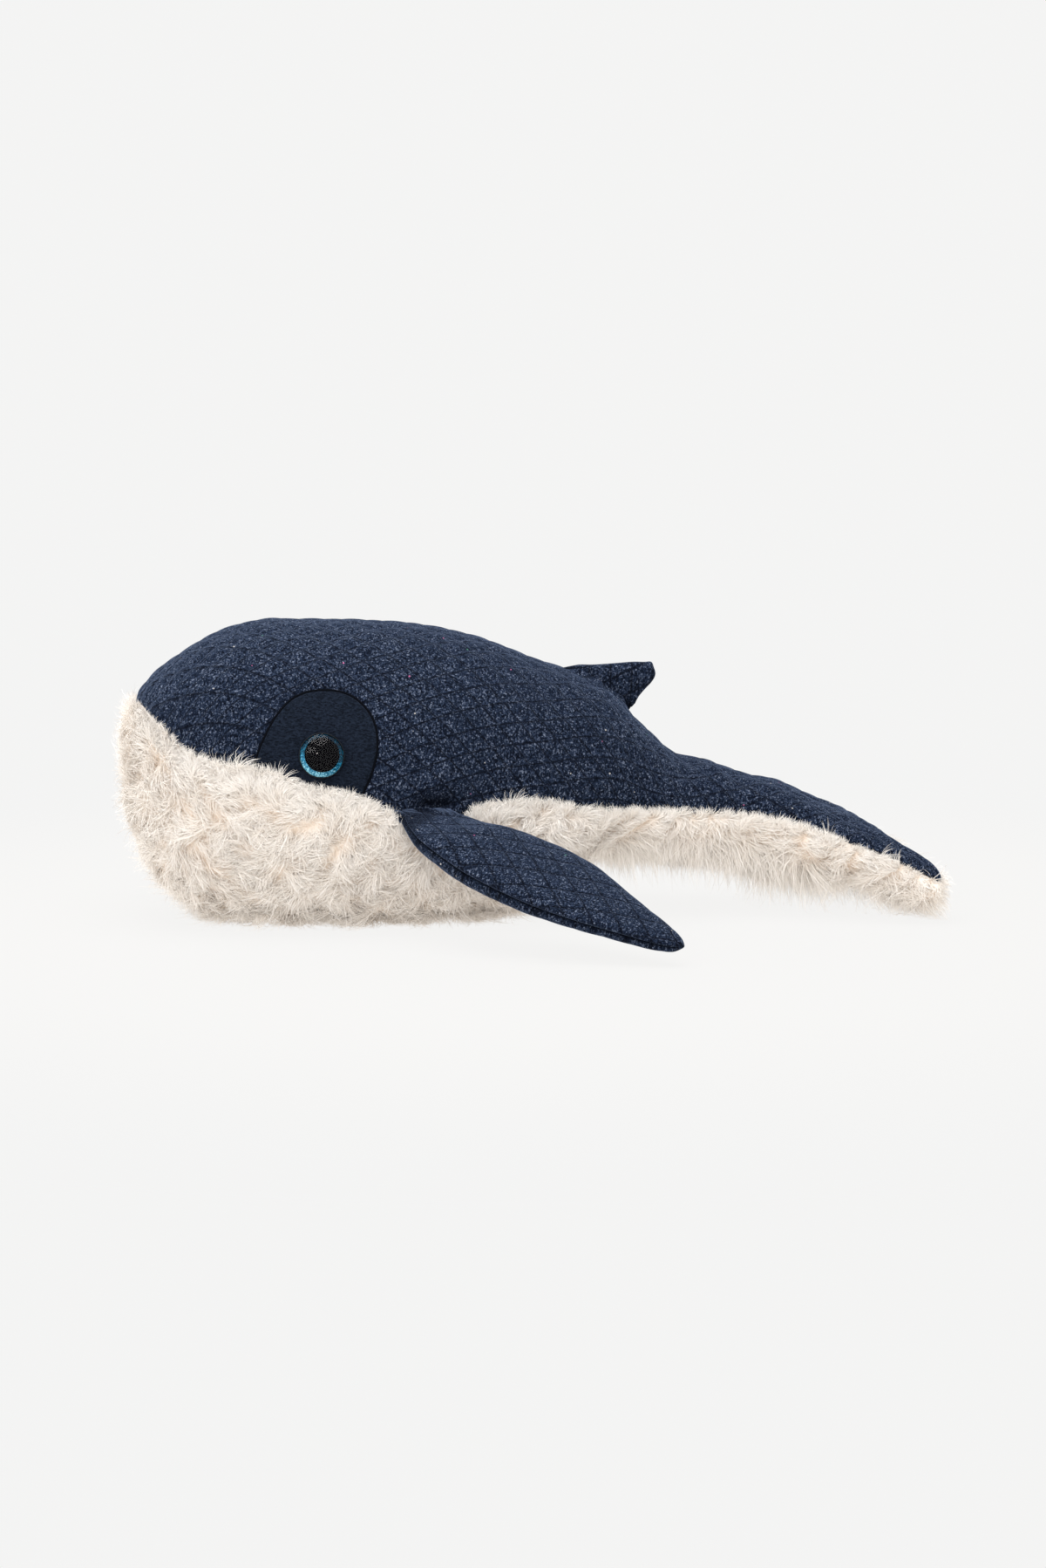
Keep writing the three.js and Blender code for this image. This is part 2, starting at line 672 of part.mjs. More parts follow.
const pocket = rod(eye.origin, eye.out, washerRadius + seamGap, -shankLength - seamGap, 0);
const bore = rod(eye.origin, eye.out, boreRadius, -shankLength, eyeBackHeight);
const finSockets = finSocket.add(finSocket.mirror([0, 1, 0]));
const leftPanel = backPanel().subtract(tailSpace).subtract(finSockets).subtract(dorsalSocket);
const stuffing = trunkSolid(0).subtract(tailSpace).subtract(finSockets).subtract(dorsalSocket)
  .subtract(pocket).subtract(pocket.mirror([0, 1, 0]));
add('body_stuffing', stuffing, 'filling');
add('belly_fur_panel', bellyPanel().subtract(tailSpace).subtract(finSockets), 'pile');

for (const side of sides) {
  const piece = (name, solid, finish) => add(`${name}_${side.name}`, mirrored(solid, side), finish);
  piece('back_panel', leftPanel.subtract(patchPrism(halfGap)), 'quilted');
  piece('eye_patch', leftPanel.intersect(patchPrism(-halfGap)).subtract(bore), 'plain');
  piece('eye_back', eyeBack(), 'plastic');
  piece('eye_glitter', disc(glitterRadius, glitterBase, glitterThickness), 'glitter');
  piece('eye_pupil', disc(pupilRadius, lensBase, pupilThickness), 'pupil');
  piece('eye_lens', eyeLens(), 'clear');
  piece('eye_washer', eyeWasher(), 'plastic');
}

const extent = new THREE.Box3().setFromObject(group);
group.position.x = -(extent.min.x + extent.max.x) / 2;

export default group;
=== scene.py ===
"""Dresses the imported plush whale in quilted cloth, long pile, plain eye patches and glossy eyes.

Metres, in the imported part's own frame: +X runs from the nose to the tail, the whale's left side faces
-Y and +Z is up. Each surface is a function of two parameters, worked out as whole arrays.
"""

import json
import logging
import math
from collections.abc import Callable, Sequence
from dataclasses import dataclass, field, fields
from enum import Enum

import bmesh
import bpy
import numpy as np
from mathutils import Matrix, Vector


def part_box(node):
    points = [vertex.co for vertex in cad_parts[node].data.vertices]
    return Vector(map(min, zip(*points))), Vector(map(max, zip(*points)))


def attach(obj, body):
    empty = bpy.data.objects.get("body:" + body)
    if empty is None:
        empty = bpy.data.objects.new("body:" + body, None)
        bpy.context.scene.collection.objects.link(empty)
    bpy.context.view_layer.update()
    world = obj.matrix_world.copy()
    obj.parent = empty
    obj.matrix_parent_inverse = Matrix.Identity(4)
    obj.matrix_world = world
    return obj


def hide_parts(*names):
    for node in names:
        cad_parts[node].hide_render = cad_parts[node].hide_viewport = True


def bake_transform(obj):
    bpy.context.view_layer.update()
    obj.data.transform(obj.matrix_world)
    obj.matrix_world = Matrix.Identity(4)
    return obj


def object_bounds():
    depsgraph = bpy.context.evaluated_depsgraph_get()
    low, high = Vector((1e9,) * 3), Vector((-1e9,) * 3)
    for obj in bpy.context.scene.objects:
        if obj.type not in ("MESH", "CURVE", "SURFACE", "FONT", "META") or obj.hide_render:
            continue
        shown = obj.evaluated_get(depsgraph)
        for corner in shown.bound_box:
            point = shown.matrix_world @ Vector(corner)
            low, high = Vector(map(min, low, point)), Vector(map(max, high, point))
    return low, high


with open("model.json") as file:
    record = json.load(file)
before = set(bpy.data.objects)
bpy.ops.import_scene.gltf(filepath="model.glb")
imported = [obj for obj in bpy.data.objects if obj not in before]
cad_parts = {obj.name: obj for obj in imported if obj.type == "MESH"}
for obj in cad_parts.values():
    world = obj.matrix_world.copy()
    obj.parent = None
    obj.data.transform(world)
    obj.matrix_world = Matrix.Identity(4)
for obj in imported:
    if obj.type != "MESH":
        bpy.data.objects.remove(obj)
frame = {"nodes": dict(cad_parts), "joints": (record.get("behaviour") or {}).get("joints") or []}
CAD_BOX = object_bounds()

MM = 0.001
HALF_TURN = math.pi
FULL_TURN = 2 * math.pi
QUARTER_TURN = math.pi / 2
PATTERN_MAP = "OFBake"
# On each corner of a face: on the pile, the height of its clumps, which sets its painted shade in the
# crevices; on quilted cloth, painted shade along seams and in the crease at a fin's root.
CROWN_AND_PAINTED_SHADE = "crown"
Array = np.ndarray
Generator = np.random.Generator
Piece = bpy.types.Object
Finish = bpy.types.Material
Node = bpy.types.Node
Socket = bpy.types.NodeSocket
LOG = logging.getLogger("plush_whale")


class Side(Enum):
    """The whale's two sides, with the sign of Y on each."""

    LEFT = -1
    RIGHT = 1

    @property
    def word(self) -> str:
        """The side's name in a piece's name."""
        return self.name.lower()


class Face(Enum):
    """The upper or lower face of the body, of the flukes or of a fin."""

    UPPER = 1
    LOWER = -1


def read_ribs(table: Array, at: Array, odd: Sequence[int] = ()) -> Array:
    """Reads a table of ribs at places between its rows.

    The curve is a Catmull-Rom spline: over each gap it is the cubic that passes through both rows with
    the slope of half the way between their neighbours.

    Args:
        table: one row per rib.
        at: rib numbers, of any shape.
        odd: columns that change sign ahead of the first rib.

    Returns:
        The columns at each place, as one more axis.
    """
    table = np.asarray(table, float)
    last = len(table) - 1
    ahead = table[1].copy()
    for column in odd:
        ahead[column] = 2 * table[0, column] - table[1, column]
    rows = np.vstack([ahead, table, 2 * table[-1] - table[-2]])
    at = np.asarray(at, float)
    row = np.clip(np.floor(at).astype(int), 0, last - 1)
    step = (at - row)[..., None]
    a, b, c, d = (rows[row + k] for k in range(4))
    bend = (2 * a - 5 * b + 4 * c - d) * step**2 + (3 * b - a - 3 * c + d) * step**3
    return b + 0.5 * ((c - a) * step + bend)


def signed_power(value: Array, power: float) -> Array:
    """The size of a value to a power, with the value's own sign."""
    return np.sign(value) * np.abs(value) ** power


def smooth_step(value: Array, low: float, high: float) -> Array:
    """0 below low and 1 above high, and a smooth cubic between them."""
    share = np.clip((np.asarray(value) - low) / (high - low), 0, 1)
    return share * share * (3 - 2 * share)


def fade(value: Array, low: float, high: float) -> Array:
    """1 below low and 0 above high, and a smooth cubic between them."""
    return 1 - smooth_step(value, low, high)


def band(value: Array, rise: tuple[float, float], fall: tuple[float, float]) -> Array:
    """1 on a stretch and 0 off it: it rises between the first two places and falls between the others."""
    return smooth_step(value, *rise) * fade(value, *fall)


def bell(distance: Array, width: float) -> Array:
    """1 at a distance of 0, falling away as a bell curve of this width."""
    return np.exp(-((distance / width) ** 2))


def unit(vectors: Array) -> Array:
    """Vectors of length one in the same directions."""
    return vectors / np.maximum(np.linalg.norm(vectors, axis=-1, keepdims=True), 1e-12)


def soft_noise(points: Array, size: float, seed: int) -> Array:
    """Smooth random values between -1 and 1 at points in space.

    Random values sit on a cubic lattice with this spacing, and a smooth cubic blends the eight corners
    of each cell.

    Args:
        points: places, with three coordinates on the last axis.
        size: spacing of the lattice.
        seed: chooses the values.

    Returns:
        One value per place.
    """
    cells = 32
    table = np.random.default_rng(seed).uniform(-1, 1, (cells, cells, cells))
    place = np.asarray(points) / size
    cell = np.floor(place).astype(int)
    share = place - cell
    share = share * share * (3 - 2 * share)
    total = np.zeros(place.shape[:-1])
    for corner in np.ndindex(2, 2, 2):
        x, y, z = (np.mod(cell[..., k] + corner[k], cells) for k in range(3))
        weight = np.prod([share[..., k] if corner[k] else 1 - share[..., k] for k in range(3)], axis=0)
        total += table[x, y, z] * weight
    return total


@dataclass(frozen=True)
class Form:
    """The whale's sewn shape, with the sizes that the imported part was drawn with.

    Ribs 0 to 14 run from the nose to the tail's pivot, and ribs 14 to 22 along the flukes. A column of 0
    lies on the side seam and 1 on the spine or the belly's middle.
    """

    trunk_length: float = 402 * MM
    body_width: float = 184 * MM
    body_height: float = 207 * MM
    pile_thickness: float = 13.5 * MM
    floor_cut: float = 0.5 * MM
    fluke_length: float = 139 * MM
    fluke_span: float = 156 * MM
    fluke_drop: float = 37 * MM
    fluke_curl: float = 8 * MM
    nose_rib: float = 3
    notch_rib: float = 4
    upper_power: float = 2 / 2.15
    lower_power: float = 2 / 2.5
    path_samples: int = 1500
    path_cover: float = 4 * MM
    head_ribs: tuple = (2, 8, 600)
    # Along trunk_length, seam height, half width, rise over the seam and the belly's lift.
    trunk_ribs: tuple = (
        (0, 0.715, 0, 0, 0.65),
        (0.022, 0.662, 0.222, 0.133, 0.298),
        (0.065, 0.609, 0.337, 0.254, 0.121),
        (0.134, 0.565, 0.432, 0.373, 0.029),
        (0.209, 0.527, 0.48, 0.45, 0),
        (0.303, 0.454, 0.5, 0.523, 0),
        (0.403, 0.382, 0.489, 0.589, 0),
        (0.498, 0.367, 0.462, 0.588, 0),
        (0.587, 0.386, 0.418, 0.527, 0.005),
        (0.677, 0.391, 0.375, 0.452, 0.068),
        (0.751, 0.382, 0.332, 0.411, 0.193),
        (0.811, 0.374, 0.293, 0.353, 0.222),
        (0.866, 0.367, 0.261, 0.246, 0.222),
        (0.925, 0.358, 0.226, 0.168, 0.208),
        (1, 0.353, 0.19, 0.121, 0.198),
    )
    # Outer edge along and out, inner edge along and out, height, depth and fall of one fluke.
    fluke_ribs: tuple = (
        (0, 0, 0, 0, 1, 1, 0),
        (0.15, 0.07, 0.15, 0, 0.81, 1.05, 0.03),
        (0.31, 0.24, 0.31, 0, 0.63, 1.1, 0.1),
        (0.47, 0.46, 0.47, 0, 0.42, 1.03, 0.24),
        (0.63, 0.68, 0.63, 0, 0.33, 0.88, 0.4),
        (0.78, 0.86, 0.735, 0.23, 0.27, 0.72, 0.59),
        (0.9, 0.97, 0.83, 0.49, 0.25, 0.55, 0.78),
        (0.97, 0.995, 0.92, 0.74, 0.22, 0.36, 0.92),
        (1, 0.94, 1, 0.94, 0, 0, 1),
    )

    @property
    def trunk_end(self) -> int:
        """The rib where the trunk ends and the flukes begin."""
        return len(self.trunk_ribs) - 1

    @property
    def fluke_tip(self) -> int:
        """The fluke's last rib, counted from the pivot."""
        return len(self.fluke_ribs) - 1

    @property
    def notch(self) -> float:
        """The rib where the flukes part into two lobes."""
        return self.trunk_end + self.notch_rib

    @property
    def last(self) -> int:
        """The last rib of all, at a lobe's tip."""
        return self.trunk_end + self.fluke_tip

    @property
    def nose_x(self) -> float:
        """The nose's place along X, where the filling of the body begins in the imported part."""
        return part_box("body_stuffing")[0].x

    def rib(self, rib: Array) -> tuple[Array, Array, Array, Array, Array]:
        """A trunk rib's place along X, seam height, half width, rise and depth."""
        shares = read_ribs(self.trunk_ribs, rib, (2, 3))
        along, seam, half, rise, lift = np.moveaxis(shares, -1, 0)
        belly = self.pile_thickness - self.floor_cut + lift * self.body_height
        depth = np.maximum(seam * self.body_height - belly, 0) * np.sqrt(np.clip(rib, 0, 1))
        x = self.nose_x + along * self.trunk_length
        return x, seam * self.body_height, half * self.body_width, rise * self.body_height, depth

    def head_rib(self, x: Array) -> Array:
        """The rib of the head at a place along X, straight between close samples."""
        fine = np.linspace(*self.head_ribs)
        return np.interp(x, self.rib(fine)[0], fine)

    def trunk(self, rib: Array, turn: Array, cover: float) -> Array:
        """Points on the left half of the trunk.

        The section is a squared ellipse about the seam: its width follows the cosine of the turn to a
        power, and its height the sine. The skin's cover is added to both radii, and near the nose it is
        laid ahead instead.

        Args:
            rib: rib numbers.
            turn: angle from the seam, a quarter turn at the spine and minus that under the belly.
            cover: thickness over the filling.

        Returns:
            Points, with three coordinates on the last axis.
        """
        x, seam, half, rise, depth = self.rib(rib)
        ahead = np.maximum(1 - np.asarray(rib) / self.nose_rib, 0) ** 2
        around = np.sqrt(1 - ahead)
        sine, cosine = np.sin(turn), np.cos(turn)
        below = sine < 0
        power = np.where(below, self.lower_power, self.upper_power)
        height = np.where(below, depth, rise) + cover * around
        points = (
            x - cover * ahead,
            -(half + cover * around) * np.abs(cosine) ** power,
            seam + height * np.sign(sine) * np.abs(sine) ** power,
        )
        return np.stack(np.broadcast_arrays(*points), -1)

    def fluke(self, rib: Array, column: Array, face: Face, cover: float) -> Array:
        """Points on the left fluke, from its root at rib 0 to its tip.

        Across a rib the place runs from the outer edge to the middle, or past the notch to the inner
        edge, as the cosine of a turn to a power, and the height over the seam follows the sine.
        """
        _, _, end_half, end_rise, end_depth = self.rib(self.trunk_end)
        pivot = self.pivot
        at = np.asarray(rib, float)
        shares = np.moveaxis(read_ribs(self.fluke_ribs, at), -1, 0)
        tip, notch = self.fluke_tip, self.notch_rib
        edge_turn = QUARTER_TURN * (at / tip) ** 3
        outer_x = shares[0] * self.fluke_length + cover * np.sin(edge_turn)
        outer_y = end_half + (self.fluke_span / 2 - end_half) * shares[1] + cover * np.cos(edge_turn)
        inner_x = shares[2] * self.fluke_length + cover * np.minimum(at / notch, 1) ** 2
        inner_y = np.where(at > notch, np.maximum(shares[3] * self.fluke_span / 2, 0), 0)
        inner_y = np.where(at >= tip, outer_y, inner_y)
        open_share = smooth_step(notch - at, 0, notch - 1)
        last_turn = HALF_TURN * (1 - open_share / 2)
        turn = last_turn * column
        power = self.upper_power if face is Face.UPPER else self.lower_power
        place = (1 - signed_power(np.cos(turn), power)) / (1 - signed_power(np.cos(last_turn), power))
        closing = np.sqrt(1 - np.clip((at / tip - 0.75) / 0.25, 0, 1) ** 2)
        height = shares[4] * end_rise if face is Face.UPPER else shares[5] * end_depth
        swell = np.maximum(np.sin(turn), 0) ** power
        x = outer_x + (inner_x - outer_x) * place
        y = outer_y + (inner_y - outer_y) * place
        curl = self.fluke_curl * (y / (self.fluke_span / 2)) ** 2 * np.minimum(at, 1)
        z = pivot.z - shares[6] * self.fluke_drop - curl
        z = z + face.value * (np.maximum(height, 0) + cover * closing) * swell
        return np.stack(np.broadcast_arrays(pivot.x + x, -y, z), -1)

    @property
    def pivot(self) -> Vector:
        """The middle of the line that the tail bends about."""
        return next(Vector(j["pos_m"]) for j in frame["joints"] if j["child"] == "tail")

    def skin(self, rib: Array, column: Array, face: Face, cover: float) -> Array:
        """Points on the left half of the whole skin, trunk and fluke together."""
        rib, column = np.broadcast_arrays(rib, column)
        on_trunk = rib <= self.trunk_end
        turn = face.value * QUARTER_TURN * column
        trunk = self.trunk(np.minimum(rib, self.trunk_end), turn, cover)
        fluke = self.fluke(np.maximum(rib - self.trunk_end, 0), column, face, cover)
        return np.where(on_trunk[..., None], trunk, fluke)

    def normals(self, rib: Array, column: Array, face: Face, cover: float) -> Array:
        """Outward directions of that skin, from small steps along its rows and columns."""
        last, step, near = self.last, 0.02, 0.01
        low = np.clip(rib - step, near, last - near - step)
        high = np.clip(rib + step, near + step, last - near)
        left, right = np.clip(column - step, 0, 1 - 2 * step), np.clip(column + step, 2 * step, 1)
        along = self.skin(high, column, face, cover) - self.skin(low, column, face, cover)
        across = self.skin(rib, right, face, cover) - self.skin(rib, left, face, cover)
        return unit(np.cross(along, across)) * face.value

    def even_ribs(self, first: float, last: float, spacing: float, face: Face) -> Array:
        """Rib numbers between two ribs, evenly spaced along the skin halfway up its side."""
        fine = np.linspace(first, last, self.path_samples)
        path = self.skin(fine, 0.5, face, self.path_cover)
        length = np.concatenate([[0], np.cumsum(np.linalg.norm(np.diff(path, axis=0), axis=-1))])
        steps = max(int(round(length[-1] / spacing)), 2)
        return np.interp(np.linspace(0, length[-1], steps + 1), length, fine)

    def grid(self, spacing: float, columns: int, face: Face,
             cover: float) -> tuple[Array, Array, int, Array, Array]:
        """An even grid over one side of the skin, from the nose to a lobe's tip.

        Returns:
            The ribs, the columns, the row at the notch, the points and the outward directions.
        """
        trunk = self.even_ribs(0, self.notch, spacing, face)
        lobe = self.even_ribs(self.notch, self.last, spacing, face)
        rib, column = np.concatenate([trunk, lobe[1:]])[:, None], np.linspace(0, 1, columns + 1)
        points = self.skin(rib, column, face, cover)
        return rib, column, len(trunk) - 1, points, self.normals(rib, column, face, cover)


FORM = Form()


@dataclass
class Draft:
    """Points, faces and pattern coordinates gathered before they become one mesh."""

    points: list[Array] = field(default_factory=list)
    maps: list[Array] = field(default_factory=list)
    crowns: list[Array] = field(default_factory=list)
    faces: list[Array] = field(default_factory=list)
    count: int = 0

    def grid(self, points: Array, pattern: Array, crown: Array | float = 0.0) -> Array:
        """Adds a grid's points, with pattern coordinates and crown values (clump heights on the pile,
        painted seam shade on cloth), and returns their numbers.
        """
        numbers = np.arange(points[..., 0].size).reshape(points.shape[:-1]) + self.count
        self.points.append(points.reshape(-1, 3))
        self.maps.append(np.broadcast_to(pattern, points.shape[:-1] + (2,)).reshape(-1, 2))
        self.crowns.append(np.broadcast_to(crown, points.shape[:-1]).ravel())
        self.count += numbers.size
        return numbers

    def sheet(self, numbers: Array, wrap: bool = False) -> None:
        """Adds the four-sided faces of a grid, with its last column joined to its first if asked."""
        if wrap:
            numbers = np.concatenate([numbers, numbers[:, :1]], 1)
        a, b = numbers[:-1, :-1], numbers[1:, :-1]
        c, d = numbers[1:, 1:], numbers[:-1, 1:]
        self.faces.append(np.stack([a, b, c, d], -1).reshape(-1, 4))

    def skin(self, left: Sequence[Array], right: Sequence[Array], split: int) -> None:
        """Adds a skin of two halves: a tube up to the notch, a tube for each lobe and the web between.

        Args:
            left: points, pattern coordinates and crown values of the left half: clump heights on the pile,
                painted shade on quilted cloth.
            right: the same of the right half.
            split: the row at the notch.
        """
        whole = (np.concatenate([a[: split + 1], b[: split + 1, -2::-1]], 1) for a, b in zip(left, right))
        self.sheet(self.grid(*whole), wrap=True)
        for half in (left, right):
            self.sheet(self.grid(*(table[split:] for table in half)), wrap=True)
        web = [left[0][split, 0], left[0][split, -1], right[0][split, 0], right[0][split, 0]]
        self.faces.append(self.grid(np.stack(web)[None], np.zeros(2)).reshape(1, 4))

    def mesh(self, name: str, finish: Finish, weld: float = 1e-6) -> Piece:
        """Makes an object of the gathered faces: welded, closed where grids meet, faces outward.

        Args:
            name: the piece's name.
            finish: its material.
            weld: points nearer than this become one.

        Returns:
            The new object, at the origin.
        """
        faces = np.concatenate(self.faces)
        pattern = np.concatenate(self.maps)[faces]
        ob = quick_mesh(name, np.concatenate(self.points), faces, pattern, finish)
        crown = np.concatenate(self.crowns)[faces].astype(np.float32)
        if crown.any():
            ob.data.attributes.new(CROWN_AND_PAINTED_SHADE, "FLOAT", "CORNER").data.foreach_set("value", crown.ravel())
        work = bmesh.new()
        work.from_mesh(ob.data)
        bmesh.ops.remove_doubles(work, verts=work.verts, dist=weld)
        bmesh.ops.recalc_face_normals(work, faces=work.faces)
        work.to_mesh(ob.data)
        work.free()
        return ob


def quick_mesh(name: str, points: Array, faces: Array, pattern: Array,
               finish: Finish) -> Piece:
    """Puts whole arrays into a new mesh and smooths it.

    Args:
        name: the piece's name.
        points: one row per vertex.
        faces: one row of vertex numbers per face, all of the same length.
        pattern: two pattern coordinates per corner of each face.
        finish: its material.

    Returns:
        The new object, at the origin.
    """
    mesh = bpy.data.meshes.new(name)
    mesh.vertices.add(len(points))
    mesh.vertices.foreach_set("co", np.ascontiguousarray(points, np.float32).ravel())
    mesh.loops.add(faces.size)
    mesh.loops.foreach_set("vertex_index", faces.astype(np.int32).ravel())
    mesh.polygons.add(len(faces))
    mesh.polygons.foreach_set("loop_start", np.arange(0, faces.size, faces.shape[1], dtype=np.int32))
    mesh.polygons.foreach_set("use_smooth", np.ones(len(faces), bool))
    layer = mesh.uv_layers.new(name=PATTERN_MAP)
    layer.data.foreach_set("uv", np.ascontiguousarray(pattern, np.float32).ravel())
    mesh.update(calc_edges=True)
    mesh.validate()
    mesh.materials.append(finish)
    return linked(name, mesh)


def linked(name: str, data: bpy.types.ID) -> Piece:
    """A new object in the scene that shows this data."""
    ob = bpy.data.objects.new(name, data)
    bpy.context.scene.collection.objects.link(ob)
    return ob


def math_node(operation: str) -> Callable[..., "Amount"]:
    """A method of Amount that adds one Math node of this sort."""
    def method(self: "Amount", *others: "Amount | float") -> "Amount":
        """The operation on this value and the others."""
        return self.math(operation, self, *others)

    return method


class Amount:
    """A shader value: an expression on it adds the Math nodes that work it out."""

    def __init__(self, finish: "Nodes", socket: Socket) -> None:
        """Wraps an output socket of a finish's node tree."""
        self.finish = finish
        self.socket = socket

    def math(self, operation: str, *terms: "Amount | float") -> "Amount":
        """One Math node on these terms."""
        node = self.finish.add("ShaderNodeMath", dict(enumerate(terms)), operation=operation)
        return Amount(self.finish, node.outputs[0])

    __add__ = math_node("ADD")
    __sub__ = math_node("SUBTRACT")
    __mul__ = math_node("MULTIPLY")
    __truediv__ = math_node("DIVIDE")
    __gt__ = math_node("GREATER_THAN")
    __lt__ = math_node("LESS_THAN")
    least = math_node("MINIMUM")
    most = math_node("MAXIMUM")

    def __rsub__(self, other: float) -> "Amount":
        """Difference from a number."""
        return self.math("SUBTRACT", other, self)

    def line(self) -> "Amount":
        """How far this is from the nearest whole number."""
        return self.math("PINGPONG", self, 0.5)

    def step(self, low: float, high: float) -> "Amount":
        """0 at low and 1 at high, and smooth between."""
        node = self.finish.add("ShaderNodeMapRange", {"Value": self, "From Min": low, "From Max": high},
                               interpolation_type="SMOOTHSTEP")
        return Amount(self.finish, node.outputs[0])


class Nodes:
    """The node tree of one finish, or of the surround."""

    def __init__(self, name: str, world: bpy.types.World | None = None) -> None:
        """Starts a material, or the world's own tree, with nothing in it but the output."""
        self.material = world or bpy.data.materials.new(name)
        self.material.use_nodes = True
        self.tree = self.material.node_tree
        self.tree.nodes.clear()
        self.output = self.tree.nodes.new("ShaderNodeOutputWorld" if world else "ShaderNodeOutputMaterial")

    def add(self, kind: str, inputs: dict | None = None, **settings: object) -> Node:
        """Adds a node.

        Args:
            kind: the node's type.
            inputs: a value, an Amount or an output socket for each socket, by name or number.
            settings: the node's own settings, set first.

        Returns:
            The node.
        """
        node = self.tree.nodes.new(kind)
        for key, value in settings.items():
            setattr(node, key, value)
        for key, value in (inputs or {}).items():
            socket = node.inputs[key]
            if isinstance(value, Amount):
                self.tree.links.new(value.socket, socket)
            elif isinstance(value, Socket):
                self.tree.links.new(value, socket)
            elif isinstance(value, tuple) and socket.type == "RGBA":
                socket.default_value = (*value, 1)
            else:
                socket.default_value = value
        return node

    def amount(self, kind: str, output: str, inputs: dict | None = None, **settings: object) -> Amount:
        """Adds a node and wraps one of its outputs as a value."""
        return Amount(self, self.add(kind, inputs, **settings).outputs[output])

    def place(self, scale: tuple = (1, 1, 1), turn: tuple = (0, 0, 0)) -> Socket:
        """Object coordinates, turned and stretched."""
        coordinates = self.add("ShaderNodeTexCoord")
        mapping = self.add("ShaderNodeMapping", {
            "Vector": coordinates.outputs["Object"], "Scale": scale, "Rotation": turn,
        })
        return mapping.outputs[0]

    def pattern(self) -> tuple[Amount, Amount]:
        """The two coordinates of the piece's own pattern map."""
        pattern = self.add("ShaderNodeUVMap", uv_map=PATTERN_MAP)
        parts = self.add("ShaderNodeSeparateXYZ", {0: pattern.outputs[0]})
        return Amount(self, parts.outputs[0]), Amount(self, parts.outputs[1])

    def mix(self, factor: Amount | float, first: object, second: object) -> Socket:
        """A mix of two colours, each a tuple or a socket."""
        inputs = {0: factor, 6: first, 7: second}
        return self.add("ShaderNodeMix", inputs, data_type="RGBA", clamp_factor=True).outputs[2]

    def noise(self, size: float, detail: float = 2, stretch: tuple = (1, 1, 1),
              turn: tuple = (0, 0, 0)) -> Amount:
        """Noise with features of a size in metres, about 0.5 in the middle."""
        inputs = {"Vector": self.place(stretch, turn), "Scale": 1 / size, "Detail": detail}
        return self.amount("ShaderNodeTexNoise", "Fac", inputs, noise_dimensions="3D")

    def cells(self, size: float, stretch: tuple = (1, 1, 1),
              turn: tuple = (0, 0, 0)) -> tuple[Amount, Amount, Amount]:
        """Cells of a size in metres, stretched and turned.

        Returns:
            The distance from the cell's middle, as a share of the size, and two chance values of the
            cell from 0 to 1.
        """
        inputs = {"Vector": self.place(stretch, turn), "Scale": 1 / size, "Randomness": 1.0}
        cells = self.add("ShaderNodeTexVoronoi", inputs, feature="F1")
        parts = self.add("ShaderNodeSeparateColor", {0: cells.outputs["Color"]})
        sockets = (cells.outputs["Distance"], parts.outputs[0], parts.outputs[1])
        return tuple(Amount(self, socket) for socket in sockets)

    def ramp(self, factor: Amount, *stops: tuple) -> Socket:
        """A colour from a ramp, given as pairs of a place and a colour."""
        node = self.add("ShaderNodeValToRGB", {"Fac": factor})
        ramp = node.color_ramp.elements
        while len(ramp) < len(stops):
            ramp.new(0.5)
        for stop, (place, colour) in zip(ramp, stops):
            stop.position, stop.color = place, (*colour, 1)
        return node.outputs[0]

    def crown(self) -> Amount:
        """The piece's own crown attribute: clump height on the pile, painted shade of seams and creases on
        quilted cloth.
        """
        return self.amount("ShaderNodeAttribute", "Fac", attribute_name=CROWN_AND_PAINTED_SHADE)

    def seen(self) -> Amount:
        """1 for rays from the camera, a mirror or glass, and 0 for those that only light things."""
        path = self.add("ShaderNodeLightPath")
        camera, glossy, through = (
            Amount(self, path.outputs[f"Is {word} Ray"]) for word in ("Camera", "Glossy", "Transmission")
        )
        return camera.most(glossy).most(through)

    def blend(self, factor: Amount | float, first: Node,
              second: Node) -> Node:
        """A mix of two shaders."""
        return self.add("ShaderNodeMixShader", {0: factor, 1: first.outputs[0], 2: second.outputs[0]})

    def bump(self, height: Amount, distance: float, strength: float = 1.0,
             normal: Socket | None = None) -> Socket:
        """A normal bent by a height map."""
        inputs = {"Height": height, "Distance": distance, "Strength": strength}
        if normal is not None:
            inputs["Normal"] = normal
        return self.add("ShaderNodeBump", inputs).outputs[0]

    def show(self, shader: Node) -> Finish:
        """Closes the tree with a shader."""
        self.tree.links.new(shader.outputs[0], self.output.inputs["Surface"])
        return self.material

    def finish(self, inputs: dict) -> Finish:
        """Closes the tree with a Principled shader."""
        return self.show(self.add("ShaderNodeBsdfPrincipled", inputs))


